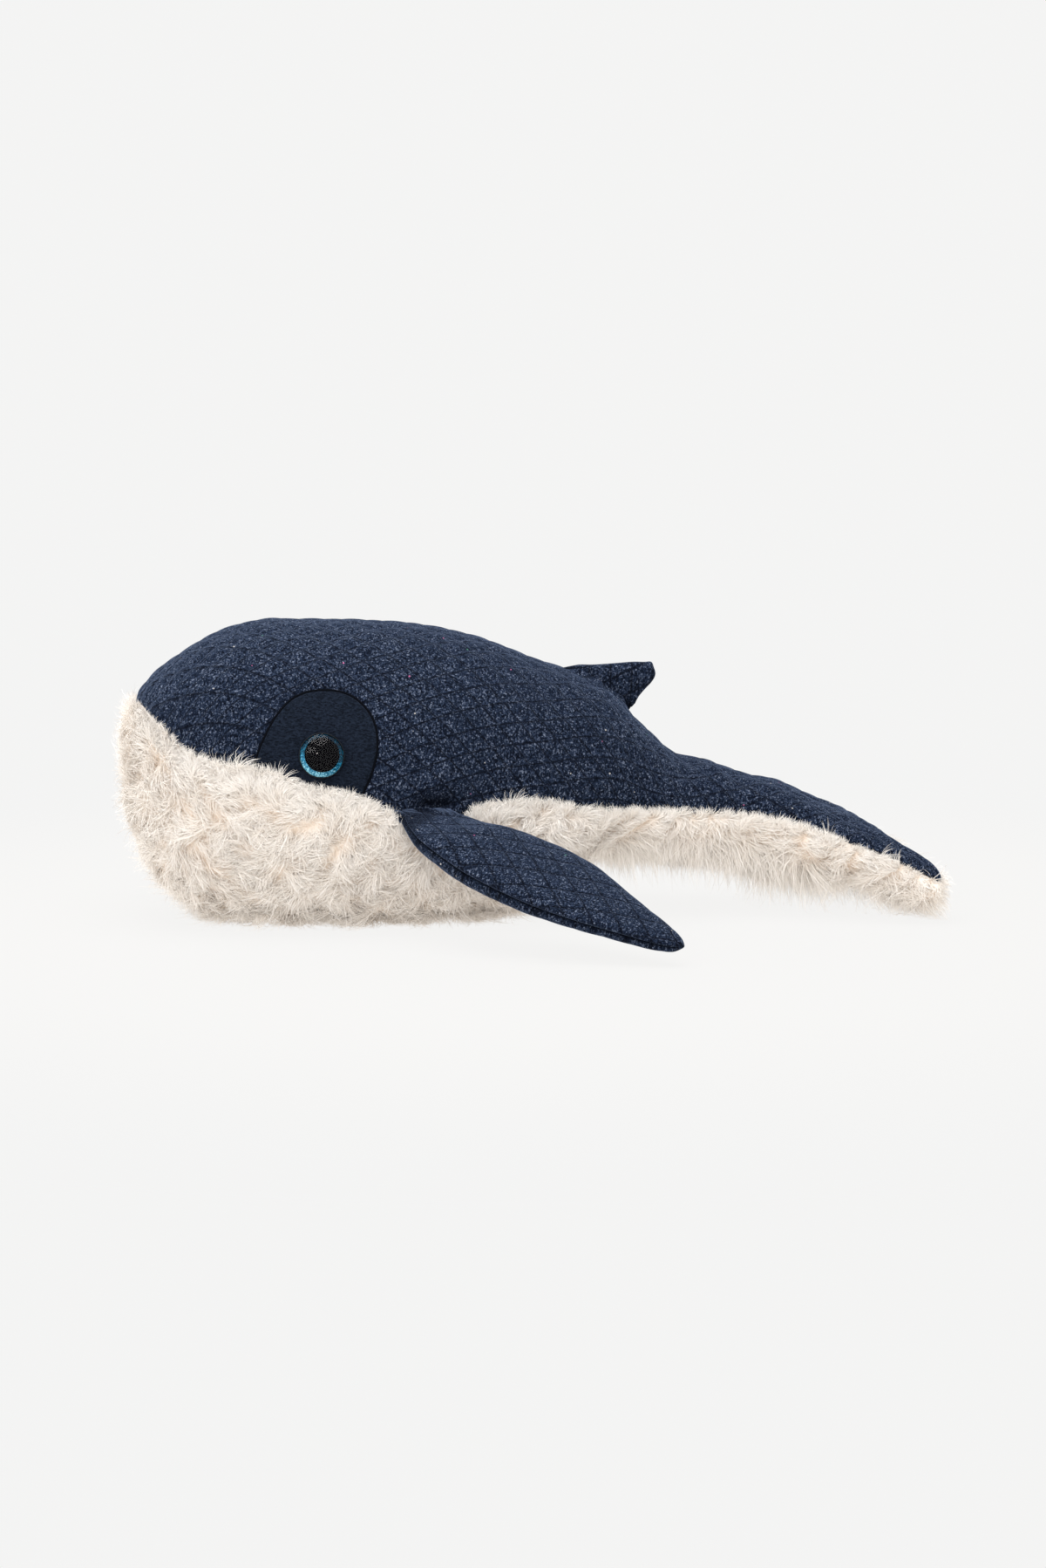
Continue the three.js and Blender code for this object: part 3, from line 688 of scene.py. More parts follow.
@dataclass(frozen=True)
class QuiltedCloth:
    """Navy melange jersey, sewn to its wadding along a diamond lattice.

    Lattice widths are shares of a diamond's diagonal.
    """

    name: str = "quilted_navy"
    dark: tuple = (0.0013, 0.0022, 0.0058)
    middle: tuple = (0.0060, 0.0108, 0.0245)
    light: tuple = (0.030, 0.045, 0.084)
    pale: tuple = (0.20, 0.235, 0.32)
    fibre: float = 0.75 * MM
    fibre_height: float = 0.5 * MM
    cloud: float = 35 * MM
    cloud_share: float = 0.15
    nep_spacing: float = 12 * MM
    nep_radius: float = 0.6 * MM
    nep_loss: float = 0.35
    nep_share: float = 0.85
    # Each sort of nep: its colour, and the chance value from which it takes over.
    neps: tuple = (((0.6, 0.58, 0.56), 0), ((0.62, 0.16, 0.34), 0.55), ((0.12, 0.42, 0.24), 0.9))
    stitch_width: float = 0.05
    stitch_gap: float = 0.14
    stitch_shade: float = 0.75
    stitch_depth: float = 0.4 * MM
    # Painted shade in the quilting's valleys, along the stitched lines.
    valley_width: float = 0.14
    valley_shade: float = 0.42
    # Painted shade where the crown attribute marks a seam or the crease at a fin's root.
    seam_shade: float = 0.9

    def melange(self, nodes: Nodes) -> tuple[Socket, Amount]:
        """The mixed fibres' colour, with a few bright neps, and their height for the bump."""
        _, flecks, _ = nodes.cells(self.fibre, (1, 1, 0.5), (0.3, 0.75, 0.5))
        _, fine, _ = nodes.cells(self.fibre * 0.75, (0.55, 1, 1), (1.1, 0.2, 0.9))
        soft = nodes.noise(self.fibre * 1.4, 2)
        speckle = flecks * 0.4 + fine * 0.3 + soft * 0.3
        mixed = nodes.ramp(speckle, (0.24, self.dark), (0.46, self.middle), (0.66, self.light),
                           (0.84, self.pale))
        cloud = nodes.noise(self.cloud, 2).step(0.35, 0.65)
        worn = nodes.mix(cloud * self.cloud_share, mixed, self.middle)
        distance, chance, kind = nodes.cells(self.nep_spacing)
        near = distance < self.nep_radius / self.nep_spacing
        tint = self.neps[0][0]
        for colour, start in self.neps[1:]:
            tint = nodes.mix(kind > start, tint, colour)
        return nodes.mix(near * (chance > self.nep_loss) * self.nep_share, worn, tint), speckle

    def build(self) -> Finish:
        """The cloth, with stitched lines where the pattern map's lattice crosses whole numbers, painted
        shade in the valleys along them, and painted shade where the crown attribute marks seams and
        creases.
        """
        nodes = Nodes(self.name)
        colour, speckle = self.melange(nodes)
        u, v = nodes.pattern()
        along, across = u * QUILT.map_size / QUILT.long_diagonal, v * QUILT.map_size / QUILT.short_diagonal
        first, second = along + across, along - across
        gap = first.line().least(second.line())
        thread = 1 - gap.step(self.stitch_width * 0.4, self.stitch_width)
        dashes = ((first - second) * QUILT.stitches).line() > self.stitch_gap
        valley = 1 - gap.step(0, self.valley_width)
        # The thread's dashes are the thread's own colour; the valleys and the crown attribute's seams and
        # fin-root creases get painted shade.
        shades = (thread * dashes * self.stitch_shade, valley * self.valley_shade,
                  nodes.crown() * self.seam_shade)
        for shade in shades:
            colour = nodes.mix(shade, colour, self.dark)
        fibres = nodes.bump(speckle, self.fibre_height, 0.7)
        normal = nodes.bump(1 - thread, self.stitch_depth, 0.6, fibres)
        return nodes.finish({
            "Base Color": colour, "Roughness": 0.95, "Sheen Weight": 0.36, "Sheen Roughness": 0.3,
            "Sheen Tint": (0.42, 0.58, 0.95), "Specular IOR Level": 0.06, "Normal": normal,
        })


@dataclass(frozen=True)
class PlainCloth:
    """The eye patch's plain knit, darker and finer than the quilted cloth."""

    name: str = "plain_navy"
    dark: tuple = (0.0022, 0.0038, 0.0078)
    light: tuple = (0.0125, 0.019, 0.034)
    fibre: float = 0.65 * MM
    fibre_height: float = 0.4 * MM

    def build(self) -> Finish:
        """The cloth."""
        nodes = Nodes(self.name)
        _, flecks, _ = nodes.cells(self.fibre, (0.45, 1, 1))
        speckle = flecks * 0.5 + nodes.noise(self.fibre, 3) * 0.5
        return nodes.finish({
            "Base Color": nodes.ramp(speckle, (0.25, self.dark), (0.75, self.light)),
            "Roughness": 0.9, "Sheen Weight": 0.1, "Sheen Roughness": 0.3,
            "Sheen Tint": (0.5, 0.6, 0.85), "Specular IOR Level": 0.06,
            "Normal": nodes.bump(speckle, self.fibre_height, 0.7),
        })


@dataclass(frozen=True)
class PileBulk:
    """The pile's packed hair under the loose ends: pale on the crowns, with painted shade, warm and
    darker, in the crevices.
    """

    name: str = "pile_bulk"
    crevice: tuple = (0.93, 0.80, 0.68)
    crown: tuple = (0.97, 0.905, 0.835)
    fibre: float = 1.1 * MM
    fibre_height: float = 0.9 * MM

    def build(self) -> Finish:
        """The bulk. The crown attribute gives the height, from the crevices to the crowns, which sets the
        painted shade.
        """
        nodes = Nodes(self.name)
        fibres = nodes.noise(self.fibre, 3, (1, 0.5, 0.35), (0.4, 0.3, 0.6))
        # Darker and warmer toward the crevices: painted shade. The fibre noise is the pile's own tone.
        tone = nodes.crown() * 0.85 + fibres * 0.4 - 0.15
        return nodes.finish({
            "Base Color": nodes.mix(tone, self.crevice, self.crown), "Roughness": 0.9,
            "Specular IOR Level": 0.2, "Normal": nodes.bump(fibres, self.fibre_height, 0.8),
        })


@dataclass(frozen=True)
class PileHair:
    """Cream polyester pile, darker and warmer at the root as painted shade in the pile's depth. The
    pattern map gives each hair's tone and the way from root to tip.
    """

    name: str = "cream_pile"
    root: tuple = (0.945, 0.83, 0.72)
    body: tuple = (0.97, 0.905, 0.835)
    tip: tuple = (0.98, 0.945, 0.905)
    pale: tuple = (0.985, 0.965, 0.94)
    pale_share: float = 0.7

    def build(self) -> Finish:
        """The hair."""
        nodes = Nodes(self.name)
        tone, way = nodes.pattern()
        # Toward the root the colour darkens and warms: painted shade in the pile's depth.
        lower = nodes.mix(way.step(0.0, 0.45), self.root, self.body)
        upper = nodes.mix(way.step(0.5, 1.0), lower, self.tip)
        return nodes.finish({
            "Base Color": nodes.mix(tone * self.pale_share, upper, self.pale), "Roughness": 0.7,
            "Specular IOR Level": 0.3, "Sheen Weight": 0.2, "Sheen Roughness": 0.5,
        })


@dataclass(frozen=True)
class Plastic:
    """Moulded plastic with a faint grain."""

    name: str
    colour: tuple
    roughness: float = 0.3
    grain: float = 0.01 * MM
    gloss: float = 0.5
    grain_size: float = 0.5 * MM
    grain_share: float = 0.3
    rough_spread: float = 0.06

    def build(self) -> Finish:
        """The plastic."""
        nodes = Nodes(self.name)
        grain = nodes.noise(self.grain_size, 2)
        lighter = tuple(part * 1.6 + 0.001 for part in self.colour)
        inputs = {
            "Base Color": nodes.mix(grain * self.grain_share, self.colour, lighter),
            "Roughness": grain * self.rough_spread + (self.roughness - self.rough_spread / 2),
            "Specular IOR Level": self.gloss,
        }
        if self.grain:
            inputs["Normal"] = nodes.bump(grain, self.grain, 0.4)
        return nodes.finish(inputs)


@dataclass(frozen=True)
class Glitter:
    """Fine blue and teal flakes in clear lacquer, darker at the top and lighter low down: painted light,
    for the light that the dome gathers.
    """

    name: str = "teal_glitter"
    flake: float = 0.8 * MM
    flake_tilt: float = 0.35 * MM
    # The flakes' colours, darkest to brightest; the brightest is reached only low down, through the
    # painted light.
    deep: tuple = (0.001, 0.010, 0.022)
    teal: tuple = (0.003, 0.065, 0.12)
    blue: tuple = (0.02, 0.24, 0.42)
    spark: tuple = (0.42, 0.86, 0.98)

    def build(self) -> Finish:
        """The flakes. The pattern map's second coordinate runs up the ring and sets the painted light."""
        nodes = Nodes(self.name)
        _, chance, tilt = nodes.cells(self.flake)
        _, height = nodes.pattern()
        # Painted light: the flakes are brighter low down, where the dome gathers the light, and darker at
        # the top.
        painted_caustic = (1 - height).step(0.1, 1.05)
        bright = chance * 0.55 + painted_caustic * 0.8 - 0.28
        return nodes.finish({
            "Base Color": nodes.ramp(bright, (0.05, self.deep), (0.35, self.teal), (0.65, self.blue),
                                     (0.95, self.spark)),
            "Metallic": 0.0, "Roughness": 0.5, "Specular IOR Level": 0.1,
            "Normal": nodes.bump(tilt, self.flake_tilt, 0.6),
        })


@dataclass(frozen=True)
class ClearDome:
    """The eye's clear moulded dome. Its index is low, so that the pupil under it stays dark."""

    name: str = "clear_dome"
    index: float = 1.22

    def build(self) -> Finish:
        """The clear plastic."""
        return Nodes(self.name).finish({
            "Base Color": (1.0, 1.0, 1.0), "Roughness": 0.015, "IOR": self.index,
            "Transmission Weight": 1.0, "Specular IOR Level": 0.08,
        })


@dataclass(frozen=True)
class Quilt:
    """The diamond lattice of the quilting, in real sizes on the cloth."""

    long_diagonal: float = 29 * MM
    short_diagonal: float = 17.5 * MM
    puff: float = 1.6 * MM
    flatness: float = 0.42
    stitches: float = 3.0
    map_size: float = 1000 * MM

    def height(self, along: Array, across: Array) -> Array:
        """How far the wadding lifts the cloth.

        It is the product of two sine waves across the diamonds, one for each set of seams, to a power
        that flattens the crowns and keeps narrow valleys.
        """
        first = along / self.long_diagonal + across / self.short_diagonal
        second = along / self.long_diagonal - across / self.short_diagonal
        swell = np.abs(np.sin(HALF_TURN * first) * np.sin(HALF_TURN * second)) ** self.flatness
        return self.puff * swell

    def pattern(self, along: Array, across: Array) -> Array:
        """Pattern map coordinates of places on the cloth."""
        return np.stack([along / self.map_size, across / self.map_size], -1)


QUILT = Quilt()


def measured(points: Array) -> tuple[Array, Array]:
    """Distances over a grid of points: along its columns from the first row, and along its rows from
    the last column."""
    down = np.linalg.norm(np.diff(points, axis=0), axis=-1)
    along = np.concatenate([np.zeros((1, points.shape[1])), np.cumsum(down, 0)])
    over = np.linalg.norm(np.diff(points, axis=1), axis=-1)
    total = np.concatenate([np.zeros((points.shape[0], 1)), np.cumsum(over, 1)], 1)
    return along, total[:, -1:] - total


def mirrored(points: Array, side: Side) -> Array:
    """Points of the left side, moved to the side asked for."""
    return points * (1, -side.value, 1)


def folded(points: Array) -> Array:
    """Points of either side, all moved to the left side."""
    return np.stack([points[..., 0], -np.abs(points[..., 1]), points[..., 2]], -1)


@dataclass(frozen=True)
class EyeSeat:
    """Where an eye sits on the skin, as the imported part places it."""

    rib: float = 4.96
    turn: float = math.radians(13.5)
    cover: float = 4 * MM
    nudge: float = 0.017

    def axes(self, side: Side) -> Matrix:
        """A matrix whose columns run rearward, upward and out of the head, at the eye's seat."""
        rib = self.rib + self.nudge * np.array([0, 1, -1, 0, 0])
        turn = self.turn + self.nudge * np.array([0, 0, 0, 1, -1])
        origin, ahead, behind, above, below = FORM.trunk(rib, turn, self.cover)
        rearward = unit(ahead - behind)
        out = unit(np.cross(rearward, unit(above - below)))
        columns = np.stack([rearward, np.cross(out, rearward), out, origin]) * (1, -side.value, 1)
        return Matrix((*columns.T.tolist(), (0, 0, 0, 1)))


@dataclass(frozen=True)
class EyePatch:
    """A plain panel round the eye, set into the quilted skin with a sewn groove."""

    seat: EyeSeat = EyeSeat()
    cover: float = 4.3 * MM
    groove: float = 2.2 * MM
    groove_width: float = 1.3 * MM
    well: float = 2.4 * MM
    edge: float = 2.6 * MM
    # The dark cord laid in the groove as painted shade: its radius, how deep it sinks and how far out it
    # lies.
    thread: float = 0.8 * MM
    thread_sink: float = 1.0 * MM
    thread_reach: float = 0.4 * MM
    seam_margin: float = 1.0 * MM
    dome: float = 0.5 * MM
    rings: int = 46
    ring_power: float = 0.8
    rim_draw: float = 0.02
    back_share: float = 0.9
    spokes: int = 150
    # The stretch of the head along X that the patch lies on.
    stretch: tuple = (-220 * MM, -90 * MM)
    # Rearward and upward places of the outline about the eye.
    outline: tuple = (
        (37, 6.5), (34, 23.5), (21.5, 37), (2, 41.5), (-16.5, 37.5), (-28, 27), (-36.5, 13),
        (-42.5, -2), (-45, -18), (-34, -40), (-6, -52), (17, -42), (27, -25), (33.5, -10),
    )

    @property
    def centre(self) -> Array:
        """The eye's place in X and Z."""
        origin = self.seat.axes(Side.LEFT).translation
        return np.array([origin.x, origin.z])

    def reach(self, angle: Array) -> Array:
        """How far the outline lies from the eye at an angle, on a smooth curve through its points."""
        points = np.array(self.outline) * MM
        angles = np.mod(np.arctan2(points[:, 1], points[:, 0]), FULL_TURN)
        order = np.argsort(angles)
        angles, radii = angles[order], np.linalg.norm(points, axis=1)[order]
        angles = np.concatenate([angles - FULL_TURN, angles, angles + FULL_TURN])
        at = np.interp(np.mod(angle, FULL_TURN), angles, np.arange(len(angles)))
        return read_ribs(np.tile(radii, 3)[:, None], at)[..., 0]

    def distance(self, x: Array, z: Array) -> Array:
        """How far a place on the side lies outside the outline, and less than 0 inside it."""
        dx, dz = x - self.centre[0], z - self.centre[1]
        return np.hypot(dx, dz) - self.reach(np.arctan2(dz, dx))

    def side_point(self, x: Array, z: Array, cover: Array) -> Array:
        """The skin's point on the left side at a place in X and Z.

        The rib follows from X, and the turn from the height over the seam by the section's own formula.
        """
        rib = FORM.head_rib(x)
        _, seam, half, rise, _ = FORM.rib(rib)
        around = np.sqrt(1 - np.maximum(1 - rib / FORM.nose_rib, 0) ** 2)
        sine = np.clip((z - seam) / (rise + cover * around), 0, 1) ** (1 / FORM.upper_power)
        y = -(half + cover * around) * np.sqrt(1 - sine**2) ** FORM.upper_power
        return np.stack(np.broadcast_arrays(x, y, np.maximum(z, seam)), -1)

    def ring(self, radius: Array, angle: Array) -> tuple[Array, Array, Array]:
        """Places in X and Z at a radius and an angle about the eye, and the side seam's height there."""
        x = self.centre[0] + radius * np.cos(angle)
        z = self.centre[1] + radius * np.sin(angle)
        return x, z, FORM.rib(FORM.head_rib(x))[1]

    def build(self, side: Side, cloth: Finish) -> Piece:
        """The panel: a disc of rings and spokes on the skin, rolled over at its rim and closed behind.

        Args:
            side: the side of the head.
            cloth: its finish.

        Returns:
            The piece.
        """
        angle = np.linspace(0, FULL_TURN, self.spokes, endpoint=False)
        probe = np.linspace(0, 1, 300)[:, None] * self.reach(angle)
        _, z, seam = self.ring(probe, angle)
        inside = np.where(z > seam + self.seam_margin, probe, 0).max(0)
        face = (np.linspace(0, 1, self.rings) ** self.ring_power)[:-1]
        rim = np.linspace(0, QUARTER_TURN, 7)[1:]
        share = np.concatenate([face, 1 - self.rim_draw * (1 - np.sin(rim)), [self.back_share, 0]])
        sunk = np.concatenate([0 * face, self.edge * (1 - np.cos(rim)), [self.edge, self.edge]])
        x, z, _ = self.ring(share[:, None] * inside, angle)
        dome = self.dome * np.sqrt(np.maximum(1 - share**2, 0))
        points = self.side_point(x, z, (self.cover + dome - sunk)[:, None])
        pattern = np.stack([x / QUILT.map_size + 0.5, z / QUILT.map_size], -1)
        draft = Draft()
        draft.sheet(draft.grid(mirrored(points, side), pattern), wrap=True)
        piece = draft.mesh(f"eye_patch_panel_{side.word}", cloth)
        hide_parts(f"eye_patch_{side.word}")
        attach(piece, "body")
        return piece

    def seam(self, side: Side, thread: Finish) -> Piece:
        """A dark cord laid in the groove round the panel: a dark piece that stands for the shade in the
        groove.

        A ring of points follows the outline at the groove's depth, and a small circle is carried along
        it in the plane of the outline's normal and the skin's.
        """
        angle = np.linspace(0, FULL_TURN, 2 * self.spokes, endpoint=False)
        x, z, seam = self.ring(self.reach(angle) + self.thread_reach, angle)
        z = np.maximum(z, seam + 0.5 * self.seam_margin)
        path = self.side_point(x, z, self.cover - self.thread_sink)
        tangent = unit(np.roll(path, -1, 0) - np.roll(path, 1, 0))
        out = unit(np.cross(tangent, (0, 1, 0)))
        across = np.cross(tangent, out)
        turn = np.linspace(0, FULL_TURN, 8, endpoint=False)[:, None]
        tube = path[:, None] + self.thread * (out[:, None] * np.cos(turn) + across[:, None] * np.sin(turn))
        draft = Draft()
        tube = np.concatenate([tube, tube[:1]])
        draft.sheet(draft.grid(mirrored(tube, side), np.zeros(2)), wrap=True)
        piece = draft.mesh(f"eye_patch_seam_{side.word}", thread)
        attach(piece, "body")
        return piece


@dataclass(frozen=True)
class Back:
    """The quilted skin of the back and the top of the flukes."""

    cover: float = 4 * MM
    spacing: float = 1.5 * MM
    columns: int = 112
    seam_tuck: float = 3 * MM
    seam_column: float = 0.035
    spine_tuck: float = 1.3 * MM
    spine_width: float = 1.3 * MM
    lump: float = 1.0 * MM
    lump_size: float = 38 * MM
    small_lump: float = 0.5 * MM
    small_lump_size: float = 16.5 * MM
    fold: float = 1.43 * MM
    fold_spacing: float = 8.5 * MM
    fold_wander: float = 2.2
    fold_size: float = 30 * MM
    # Where along X the folds begin and end.
    fold_start: tuple = (50 * MM, 110 * MM)
    fold_end: tuple = (150 * MM, 190 * MM)
    well_edge: tuple = (-3 * MM, -0.5 * MM)
    patch_flat: float = 6 * MM
    fin_crease: float = 5 * MM
    fin_crease_width: float = 5 * MM
    fin_bulge: float = 3 * MM
    fin_bulge_rise: float = 11 * MM
    # Width of the painted shade along the crease over the pectoral fin's root.
    fin_shade: float = 2.6 * MM
    fin_reach: float = 10 * MM
    fillet: float = 7 * MM
    fillet_gap: float = 2.5 * MM
    fillet_front: float = 18 * MM
    fillet_rear: tuple = (24 * MM, 4 * MM)
    fillet_reach: float = 30 * MM
    patch: EyePatch = EyePatch()

    def lift(self, rib: Array, column: Array, points: Array, along: Array, across: Array) -> Array:
        """How far the cloth stands over its cover.

        Quilting swells between the seams, broad lumps come from the filling, folds cross the root of the
        tail, and the cloth is drawn in at the spine seam, the side seams and the eye patches.
        """
        x = points[..., 0]
        fold = np.sin(x / self.fold_spacing + self.fold_wander * soft_noise(points, self.fold_size, 7))
        fold = fold * band(x, self.fold_start, self.fold_end) * smooth_step(column, 0.05, 0.4)
        height = (
            QUILT.height(along, across) - 0.5 * QUILT.puff
            + self.lump * soft_noise(points, self.lump_size, 3)
            + self.small_lump * soft_noise(points, self.small_lump_size, 4)
            + self.fold * fold
            - self.spine_tuck * bell(across, self.spine_width) * (rib < FORM.notch)
            - self.seam_tuck * fade(column, 0, self.seam_column)
            + self.roots(folded(points))
        )
        distance = self.patch.distance(x, points[..., 2])
        near = (x > self.patch.stretch[0]) & (x < self.patch.stretch[1])
        groove = self.patch.groove * bell(distance, self.patch.groove_width)
        well = self.patch.well * fade(distance, *self.well_edge)
        flat = fade(distance, 0, self.patch_flat)
        round_patch = np.where(distance < 0, -groove - well, height * (1 - 0.6 * flat) - groove)
        return np.where(near, round_patch, height)

    def root_gap(self, points: Array, over: float) -> Array:
        """Distance from a line that runs at this height over the top of the pectoral fin's root."""
        out, sideways, up = PECTORAL.local(points)
        root = PECTORAL.ribs[0]
        beyond = np.maximum(np.abs(sideways - (root[1] + root[3]) / 2) - abs(root[3] - root[1]) / 2, 0)
        top = 0.3 * root[4] + 3 * MM + over
        return np.hypot(up - top, np.maximum(np.abs(out) - self.fin_reach, 0) + beyond)

    def roots(self, points: Array) -> Array:
        """How the fins' roots shape the cloth of the left side.

        A crease is pressed in along the top of the pectoral fin's root, with a bulge over it, and a round
        fillet rises to the dorsal fin's faces.
        """
        crease = self.fin_crease * bell(self.root_gap(points, 0), self.fin_crease_width)
        above = self.root_gap(points, self.fin_bulge_rise)
        crease = crease - self.fin_bulge * bell(above, self.fin_bulge_rise)
        out, sideways, up = DORSAL.local(points)
        low, high = sorted((DORSAL.ribs[0][1], DORSAL.ribs[0][3]))
        gap = np.clip(np.abs(up) - DORSAL.ribs[0][4] - self.fillet_gap, 0, self.fillet)
        fillet = self.fillet - np.sqrt(self.fillet**2 - (self.fillet - gap) ** 2)
        rear = tuple(high - back for back in self.fillet_rear)
        ends = band(sideways, (low, low + self.fillet_front), rear)
        return fillet * ends * (np.abs(out) < self.fillet_reach) - crease

    def build(self, cloth: Finish) -> Piece:
        """The skin: rows from seam to seam over the spine, closed underneath, then the two flukes."""
        grid = FORM.grid(self.spacing, self.columns, Face.UPPER, self.cover)
        rib, column, split, base, normal = grid
        along, across = measured(base)
        ends = band(rib, (0, 0.4), (FORM.last - 0.5, FORM.last))
        halves = []
        for side in Side:
            place = mirrored(base, side)
            lift = self.lift(rib, column, place, along, across * side.value) * ends
            points = place + mirrored(normal, side) * lift[..., None]
            points[: split + 1, -1, 1] = 0
            pattern = QUILT.pattern(along, 0.25 * QUILT.map_size + across * side.value)
            # The crown values here are painted shade along the crease over the pectoral fin's root.
            halves.append((points, pattern, bell(self.root_gap(folded(place), 0), self.fin_shade)))
        return sewn("quilted_back", halves, split, cloth, "quilted_navy", "back_panel_left",
                    "back_panel_right", "fluke_top_panel", "body_stuffing", "fluke_stuffing")


def sewn(name: str, halves: list, split: int, finish: Finish, slot: str,
         *nodes: str) -> Piece:
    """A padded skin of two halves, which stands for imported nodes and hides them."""
    draft = Draft()
    draft.skin(*halves, split)
    piece = draft.mesh(name, finish)
    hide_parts(*nodes)
    bend_tail(piece)
    return piece


def bend_tail(piece: Piece, reach: float = 38 * MM) -> None:
    """Bakes the placement of a piece that crosses the tail's pivot into its mesh."""
    x, _, z = FORM.pivot
    x - reach
    x + reach
    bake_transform(piece)


@dataclass(frozen=True)
class PileBed:
    """One side of the pile's bed: a grid of the raised backing, and what the hairs need from it."""

    ribs: Array
    columns: Array
    split: int
    points: Array
    normals: Array
    along: Array
    place: Array
    crown: Array

    def read(self, table: Array, at: tuple[Array, Array, Array, Array]) -> Array:
        """A table's values at places in the grid, straight between its samples."""
        row, col, s, t = at
        extra = (slice(None),) + (None,) * (table.ndim - 2)
        low = table[row, col] + (table[row + 1, col] - table[row, col]) * s[extra]
        high = table[row, col + 1] + (table[row + 1, col + 1] - table[row, col + 1]) * s[extra]
        return low + (high - low) * t[extra]


def gather(along: Array, across: Array, size: float, seed: int) -> tuple[Array, Array, Array]:
    """The clump that each place belongs to: the nearest of one chance centre per square of cloth.

    Args:
        along: distance along the cloth.
        across: distance across it.
        size: side of the squares.
        seed: chooses the centres.

    Returns:
        The way to the clump's centre along and across; how much nearer it is than the next centre, as
        a share of the size; and five random numbers of the clump.
    """
    cells = 128
    table = np.random.default_rng(seed).random((cells, cells, 7))
    i, j = np.floor(along / size).astype(int), np.floor(across / size).astype(int)
    best = np.full(along.shape, np.inf)
    second = best.copy()
    way = np.zeros(along.shape + (2,))
    chosen = np.zeros(along.shape + (5,))
    for di in (-1, 0, 1):
        for dj in (-1, 0, 1):
            cell = table[np.mod(i + di, cells), np.mod(j + dj, cells)]
            da = (i + di + cell[..., 0]) * size - along
            dc = (j + dj + cell[..., 1]) * size - across
            distance = np.hypot(da, dc)
            nearer = distance < best
            second = np.where(nearer, best, np.minimum(second, distance))
            best = np.where(nearer, distance, best)
            way[nearer] = np.stack([da, dc], -1)[nearer]
            chosen[nearer] = cell[..., 2:][nearer]
    return way, (second - best) / size, chosen


